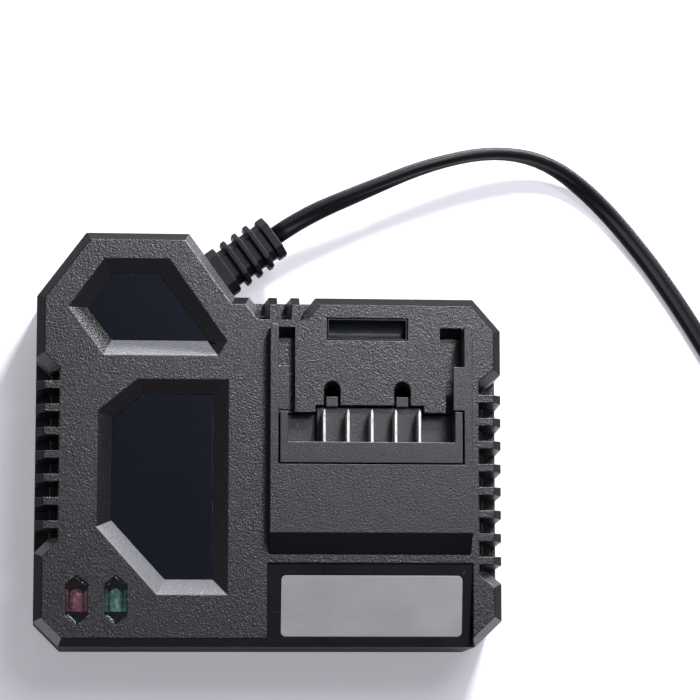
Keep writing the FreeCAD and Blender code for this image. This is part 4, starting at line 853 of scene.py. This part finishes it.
class CHARGER_OT_cord(bpy.types.Operator):
    """Flat twin cord from the strain relief, round to the coil and into the plug"""
    bl_idname = "charger.cord"
    bl_label = "Cord"

    def execute(self, context):
        sizes = context.scene.charger_cord
        path = self.line()
        section = cord_section(sizes)
        length = np.concatenate([[0.0], np.cumsum(np.linalg.norm(np.diff(path, axis=0), axis=1))])
        roll = self.roll(sizes, length)
        vertices = carried(path, section, roll)
        mesh = mesh_of("mains_cord_flat", vertices, skin(len(path), len(section)))
        cord = add_piece("mains_cord_flat", mesh, "cord_rubber", "mains_cord", "mains_cord_coil")
        return {"FINISHED"}

    def coil_point(self, turns):
        """A point on the coil: the radius falls by the pitch each turn to halfway and grows again,
        and the height climbs a layer on half a cosine where it turns back."""
        radius = COIL_OUTER - COIL_PITCH * (COIL_HALFWAY - abs(turns - COIL_HALFWAY))
        rise = min(max((turns - COIL_LAYER_TURNS) / COIL_CLIMB_TURNS, 0.0), 1.0)
        low, high = COIL_LAYERS
        height = low + (high - low) * (1 - math.cos(math.pi * rise)) / 2
        angle = COIL_ENTRY + 2 * math.pi * turns
        return (
            COIL_CENTRE[0] + radius * math.cos(angle),
            COIL_CENTRE[1] + radius * math.sin(angle),
            height,
        )

    def line(self):
        """Points along the cord's NURBS spline: the route, the coil's turns and the lead to the plug."""
        turns = 2 * COIL_LAYER_TURNS + COIL_CLIMB_TURNS
        count = round(turns * POINTS_A_TURN)
        coil = [self.coil_point(i / POINTS_A_TURN) for i in range(count + 1)]
        way = np.array([-math.sin(COIL_ENTRY), math.cos(COIL_ENTRY)])
        last = np.array(coil[-1])
        reaches = (LEVEL_END, LIFT_END, PLUG_REACH + INTO_PLUG)
        heights = (last[2], last[2] + LIFT, plug_height())
        lead = [(*(last[:2] + way * reach), height) for reach, height in zip(reaches, heights)]
        points = CORD_ROUTE + coil + lead
        curve = bpy.data.curves.new("cord_line", "CURVE")
        curve.dimensions = "3D"
        curve.resolution_u = 5
        spline = curve.splines.new("NURBS")
        spline.points.add(len(points) - 1)
        for point, here in zip(spline.points, points):
            point.co = (*here, 1.0)
        spline.order_u = 3
        spline.use_endpoint_u = True
        holder = bpy.data.objects.new("cord_line", curve)
        mesh = bpy.data.meshes.new_from_object(holder)
        found = np.empty(len(mesh.vertices) * 3)
        mesh.vertices.foreach_get("co", found)
        bpy.data.objects.remove(holder)
        bpy.data.meshes.remove(mesh)
        return found.reshape(-1, 3)

    def roll(self, sizes, length):
        """How far the cord is turned about its line: up on a sine to its edge, and flat again on a cosine."""
        rising = np.sin(np.clip(length / sizes.edge_on, 0, 1) * math.pi / 2)
        falling = np.clip((length - sizes.edge_on) / (sizes.flat_again - sizes.edge_on), 0, 1)
        return sizes.roll * rising * (1 + np.cos(math.pi * falling)) / 2


class CHARGER_OT_plug(bpy.types.Operator):
    """Moulded mains plug with grip ridges, two pins and their sleeves"""
    bl_idname = "charger.plug"
    bl_label = "Plug"

    def execute(self, context):
        sizes = context.scene.charger_plug
        self.body(sizes)
        self.pins(sizes)
        return {"FINISHED"}

    def body(self, sizes):
        """Rings of a superellipse along the plug: |across/half|^n + |up/half|^n = 1. The halves grow
        smoothly from tail to face, and a row of ridges is cut into both flat sides."""
        along = np.concatenate([np.linspace(0, 0.97, 110), PLUG_FACE])
        half_width = self.smoothed(np.interp(along, PLUG_KNOTS, PLUG_HALF_WIDTHS) * MM)
        half_height = self.smoothed(np.interp(along, PLUG_KNOTS, PLUG_HALF_HEIGHTS) * MM)
        tail = between(along, RINGS_FROM, RINGS_TO)
        ringed = tail & (np.sin(along * 2 * math.pi / RING_STEP) > RING_OVER)
        half_width = (half_width - RING_DEPTH * ringed)[:, None]
        half_height = (half_height - RING_DEPTH * ringed)[:, None]
        shrink = np.ones((len(along), 1))
        shrink[-len(PLUG_SHRINK):, 0] = PLUG_SHRINK
        power = np.interp(along, PLUG_POWER_KNOTS, PLUG_POWERS)[:, None]
        angle = np.linspace(0, 2 * math.pi, 96, endpoint=False)[None, :]
        cosine, sine = np.cos(angle), np.sin(angle)
        across = half_width * np.sign(cosine) * np.abs(cosine) ** (2 / power)
        up = half_height * np.sign(sine) * np.abs(sine) ** (2 / power)
        way_along = (along - GRIP_FROM) / (GRIP_TO - GRIP_FROM)
        grip = np.clip(np.sin(way_along * math.pi), 0, 1) * between(along, GRIP_FROM, GRIP_TO)
        ridges = 0.5 - 0.5 * np.cos(along * 2 * math.pi / RIDGE_STEP)
        flat = np.clip(GRIP_FADE - np.abs(across) / (GRIP_FLAT * half_width), 0, 1) ** 0.5
        up = up - np.sign(up) * RIDGE_DEPTH * (grip * ridges)[:, None] * flat * (np.abs(sine) > 0.5)
        ahead = np.broadcast_to(along[:, None] * sizes.length, across.shape)
        points = np.stack([ahead, across * shrink, up * shrink], axis=-1).reshape(-1, 3)
        mesh = mesh_of("plug", from_plug(points), skin(len(along), angle.shape[1]))
        add_piece("plug", mesh, "plug_plastic", "plug_body")

    def smoothed(self, values):
        """Values averaged over their neighbours on a bell, with the ends held."""
        kernel = np.hanning(PLUG_SMOOTHING) / np.hanning(PLUG_SMOOTHING).sum()
        reach = PLUG_SMOOTHING // 2
        padded = np.concatenate([np.full(reach, values[0]), values, np.full(reach, values[-1])])
        return np.convolve(padded, kernel, mode="valid")

    def pins(self, sizes):
        """Each pin is a domed metal end, r cos a wide at r sin a along, that begins inside its sleeve."""
        radius, bare, reach = sizes.pin_radius, sizes.sleeve_length, sizes.pin_length
        sleeve = radius - SLEEVE_RECESS
        dome = np.linspace(0, math.pi / 2, 9)[:-1]
        start = [bare - PIN_TUCK, bare, bare + PIN_CHAMFER]
        ahead = np.concatenate([start, reach - radius + radius * np.sin(dome)])
        width = np.concatenate([[sleeve - PIN_CORE, radius - PIN_CHAMFER, radius], radius * np.cos(dome)])
        self.pair(sizes, "pins", "plated_metal", ahead, width, "plug_pins")
        ahead = np.array([-SLEEVE_ROOT, 0.0, bare - PIN_TUCK, bare])
        width = np.array([sleeve, sleeve, sleeve, sleeve - SLEEVE_RIM])
        self.pair(sizes, "pin_sleeves", "plug_plastic", ahead, width)

    def pair(self, sizes, name, slot, ahead, width, *replaced):
        """Two like turned pieces, one round each pin's axis."""
        sides = 32
        ring = turned(sizes.length + ahead, width, sides)
        aside = np.array([0, sizes.pin_spacing / 2, 0])
        points = from_plug(np.concatenate([ring - aside, ring + aside]))
        faces = skin(len(ahead), sides)
        faces += [[len(ring) + index for index in face] for face in faces]
        turned_piece(name, slot, points, faces, 35, *replaced)


class CHARGER_OT_tie(bpy.types.Operator):
    """The strap that holds the put-away coil together"""
    bl_idname = "charger.tie"
    bl_label = "Cord tie"

    def execute(self, context):
        """A flat band round the coil's section: |out/half|^n + |up/half|^n = 1, as wide along the coil
        as the strap and as thick as it all round."""
        sizes = context.scene.charger_tie
        cord = context.scene.charger_cord
        outer = COIL_OUTER - COIL_PITCH * 0.5
        inner = COIL_OUTER - COIL_PITCH * (COIL_HALFWAY - 0.5)
        reach = (outer - inner + cord.core + cord.apart) / 2 + sizes.slack
        tall = (COIL_LAYERS[1] - COIL_LAYERS[0] + cord.core) / 2 + sizes.slack / 4
        way = COIL_ENTRY + math.pi
        out = np.array([math.cos(way), math.sin(way), 0.0])
        along = np.cross(UP, out)
        middle = np.array([*COIL_CENTRE, sum(COIL_LAYERS) / 2]) + out * (outer + inner) / 2
        angle = np.linspace(0, 2 * math.pi, 96, endpoint=False)
        power = 2 / sizes.squareness
        shape_out = np.sign(np.cos(angle)) * np.abs(np.cos(angle)) ** power
        shape_up = np.sign(np.sin(angle)) * np.abs(np.sin(angle)) ** power
        corners = [(0, -1), (0, 1), (1, 1), (1, -1)]
        rings = []
        for layer, side in corners:
            thick = layer * sizes.thickness
            sideways = shape_out[:, None] * (reach + thick) * out
            upward = shape_up[:, None] * (tall + thick) * UP
            rings.append(middle + sideways + upward + side * along * sizes.width / 2)
        points = np.stack(rings, axis=1).reshape(-1, 3)
        mesh = mesh_of("cord_tie", points, skin(len(angle), len(corners), loop=True))
        mesh.set_sharp_from_angle(angle=math.radians(40))
        add_piece("cord_tie", mesh, "cord_rubber")
        return {"FINISHED"}


class CHARGER_OT_case(bpy.types.Operator):
    """The two cases with rounded edges: grain, smooth bevels, and corners and well bevels painted lighter as
    highlights
    """
    bl_idname = "charger.case"
    bl_label = "Case"

    def execute(self, context):
        """Tells the faces apart by their normals: the outer rim, its front corners, the bevels of the wells
        that the light strikes, and the panel that slopes to the front. The front corners and the lit well
        bevels are painted lighter, as painted highlights."""
        edge = context.scene.charger_finish.edge
        upper = rounded_copy("upper_case", edge, sharp=RAMPS)
        centres, normals = faces_of(upper.data)
        right, back, up = normals.T
        rim = between(up, *RIM_UP) & between(centres[:, 2], BEVEL_Z, DECK_Z)
        outer = rim & ((centres * normals)[:, :2].sum(axis=1) > RIM_REACH)
        corner = (np.abs(right) > CORNER_SIDEWAYS) & (np.abs(back) > CORNER_SIDEWAYS) & (back < 0)
        repaint(upper.data, outer & ~corner, case_polished())
        # Painted highlight: the rim's front corner facets take a light grey instead of the case's dark
        # colour.
        repaint(upper.data, outer & corner, moulded("case_corner"))
        slanted = between(up, *WELL_UP) & (centres[:, 2] > WELL_FLOOR_Z) & ~rim
        lit = (back > LIT_BACK) & (right > LIT_RIGHT) & (centres[:, 0] < LIT_WEST_OF)
        # Painted highlight: the well bevels that face the back and the low back lamp take a lighter grey than
        # the case.
        repaint(upper.data, slanted & lit, moulded("case_worn"))
        repaint(upper.data, (up > PANEL_UP) & (back < PANEL_BACK), case_slope())
        rounded_copy("lower_case", edge)
        return {"FINISHED"}


class CHARGER_OT_bay(bpy.types.Operator):
    """The battery bay: rails, terminal holder, blades and latch pocket"""
    bl_idname = "charger.bay"
    bl_label = "Battery bay"

    def execute(self, context):
        edge = context.scene.charger_finish.edge
        rails = rounded_copy("battery_rail_frame", edge)
        _, back, up = faces_of(rails.data)[1].T
        repaint(rails.data, (back < RAIL_SLOPE_BACK) & (up > RAIL_SLOPE_UP), case_slope())
        rounded_copy("terminal_holder", edge * 0.8)
        for index in range(1, 6):
            rounded_copy("terminal_blade_%d" % index, 0.00012)
        rounded_copy("latch_pocket_insert", 0.00020)
        return {"FINISHED"}


class CHARGER_OT_relief(bpy.types.Operator):
    """The cord's ribbed strain relief with softened edges, and the flat cord's end inside it"""
    bl_idname = "charger.relief"
    bl_label = "Strain relief"

    def execute(self, context):
        rounded_copy("cord_strain_relief", 0.00045, 3, 25.0)
        self.tail(context.scene.charger_cord)
        self.seal()
        return {"FINISHED"}

    def tail(self, sizes):
        """The cord's section carried straight along the relief, from the clamp to its end face."""
        path = RELIEF_FOOT + np.linspace(TAIL_START, TAIL_END, TAIL_POINTS)[:, None] * RELIEF_AXIS
        section = cord_section(sizes)
        vertices = carried(path, section, np.zeros(len(path)))
        mesh = mesh_of("cord_tail_flat", vertices, skin(len(path), len(section)))
        add_piece("cord_tail_flat", mesh, "cord_rubber", "cord_tail")

    def seal(self):
        """A round filling between the flat cord and the relief's round bore: rings of one radius, with a
        narrow rim rounded off at each end."""
        along = np.array([SEAL_START, SEAL_START + SEAL_RIM, SEAL_END - SEAL_RIM, SEAL_END])
        width = np.array([SEAL_RADIUS - SEAL_RIM, SEAL_RADIUS, SEAL_RADIUS, SEAL_RADIUS - SEAL_RIM])
        ring = turned(along, width, 40)
        ways = np.stack([RELIEF_AXIS, np.cross(UP, RELIEF_AXIS), UP])
        turned_piece("relief_seal", "cord_rubber", RELIEF_FOOT + ring @ ways, skin(len(along), 40), 60)


class CHARGER_OT_plates(bpy.types.Operator):
    """The nameplate and the indicator windows with rounded edges"""
    bl_idname = "charger.plates"
    bl_label = "Nameplate and windows"

    def execute(self, context):
        rounded_copy("nameplate", 0.00012)
        for node in ("red_lens", "green_lens"):
            rounded_copy(node, 0.00018)
        return {"FINISHED"}


class CHARGER_OT_lamps(bpy.types.Operator):
    """The two indicator lamps, lying under their windows"""
    bl_idname = "charger.lamps"
    bl_label = "Indicator lamps"

    def execute(self, context):
        """Turned bodies: rings of radius r(y) round an axis along Y. A collar and a barrel are straight,
        and the dome is the square root of one less the square of the way along it."""
        sizes = context.scene.charger_lamps
        radius, collar = sizes.dome, sizes.collar_radius
        dome = np.sin(np.linspace(0, math.pi / 2, 10)[1:-1])
        straight = [0.0, 0.0, sizes.collar, sizes.collar, sizes.barrel]
        along = np.concatenate([straight, sizes.barrel + radius * dome])
        narrow = [radius * sizes.taper, collar, collar, radius, radius]
        width = np.concatenate([narrow, radius * np.sqrt(1 - dome ** 2)])
        shape = turned(along, width, 40)[:, [1, 0, 2]]
        faces = [face[::-1] for face in skin(len(along), 40)]
        for node in ("red_lamp", "green_lamp"):
            low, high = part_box(node)
            start = (low.y + high.y) / 2 + sizes.start
            foot = np.array([(low.x + high.x) / 2, start, high.z - collar])
            turned_piece(node + "_lying", SLOT_OF[node], foot + shape, faces, 40, node)
        return {"FINISHED"}


class CHARGER_OT_inside(bpy.types.Operator):
    """Finishes for each piece of the construction that keeps its own shape"""
    bl_idname = "charger.inside"
    bl_label = "Parts inside"

    def execute(self, context):
        for name, node in frame["nodes"].items():
            if node.hide_render:
                continue
            node.data.materials.clear()
            node.data.materials.append(material_of(PAINTED_SHADE_UNDER_LENS.get(name, SLOT_OF[name])))
        return {"FINISHED"}


class CHARGER_PT_panel(bpy.types.Panel):
    """Sizes, colours and the steps that dress the charger"""
    bl_idname = "CHARGER_PT_panel"
    bl_label = "Battery charger"
    bl_space_type = "VIEW_3D"
    bl_region_type = "UI"
    bl_category = "Charger"

    def draw(self, context):
        """Lists every group's settings, then a button for each step."""
        for settings in GROUPS:
            group = getattr(context.scene, settings)
            column = self.layout.column()
            for name in group.bl_rna.properties.keys():
                if name not in ("rna_type", "name"):
                    column.prop(group, name)
        for step in STEPS:
            self.layout.operator(step.bl_idname)


GROUPS = {
    "charger_cord": CordSizes,
    "charger_plug": PlugSizes,
    "charger_lamps": LampSizes,
    "charger_tie": TieSizes,
    "charger_finish": CaseFinish,
    "charger_studio": StudioSettings,
}
STEPS = (
    CHARGER_OT_studio,
    CHARGER_OT_relief,
    CHARGER_OT_plug,
    CHARGER_OT_cord,
    CHARGER_OT_tie,
    CHARGER_OT_case,
    CHARGER_OT_bay,
    CHARGER_OT_plates,
    CHARGER_OT_lamps,
    CHARGER_OT_inside,
)


def register():
    """Registers the settings, the operators and the panel."""
    for name, group in GROUPS.items():
        bpy.utils.register_class(group)
        setattr(bpy.types.Scene, name, PointerProperty(type=group))
    for step in STEPS:
        bpy.utils.register_class(step)
    bpy.utils.register_class(CHARGER_PT_panel)


def unregister():
    """Takes the panel, the operators and the settings out again."""
    bpy.utils.unregister_class(CHARGER_PT_panel)
    for step in reversed(STEPS):
        bpy.utils.unregister_class(step)
    for name, group in GROUPS.items():
        delattr(bpy.types.Scene, name)
        bpy.utils.unregister_class(group)


def corners(box):
    """A box's two corners as plain numbers."""
    return [list(map(float, corner)) for corner in box]


def main():
    """Dresses the charger step by step."""
    register()
    for step in STEPS:
        group, name = step.bl_idname.split(".")
        done = getattr(getattr(bpy.ops, group), name)()
        if done != {"FINISHED"}:
            raise RuntimeError(step.bl_idname + " did not finish")


if __name__ == "__main__":
    main()
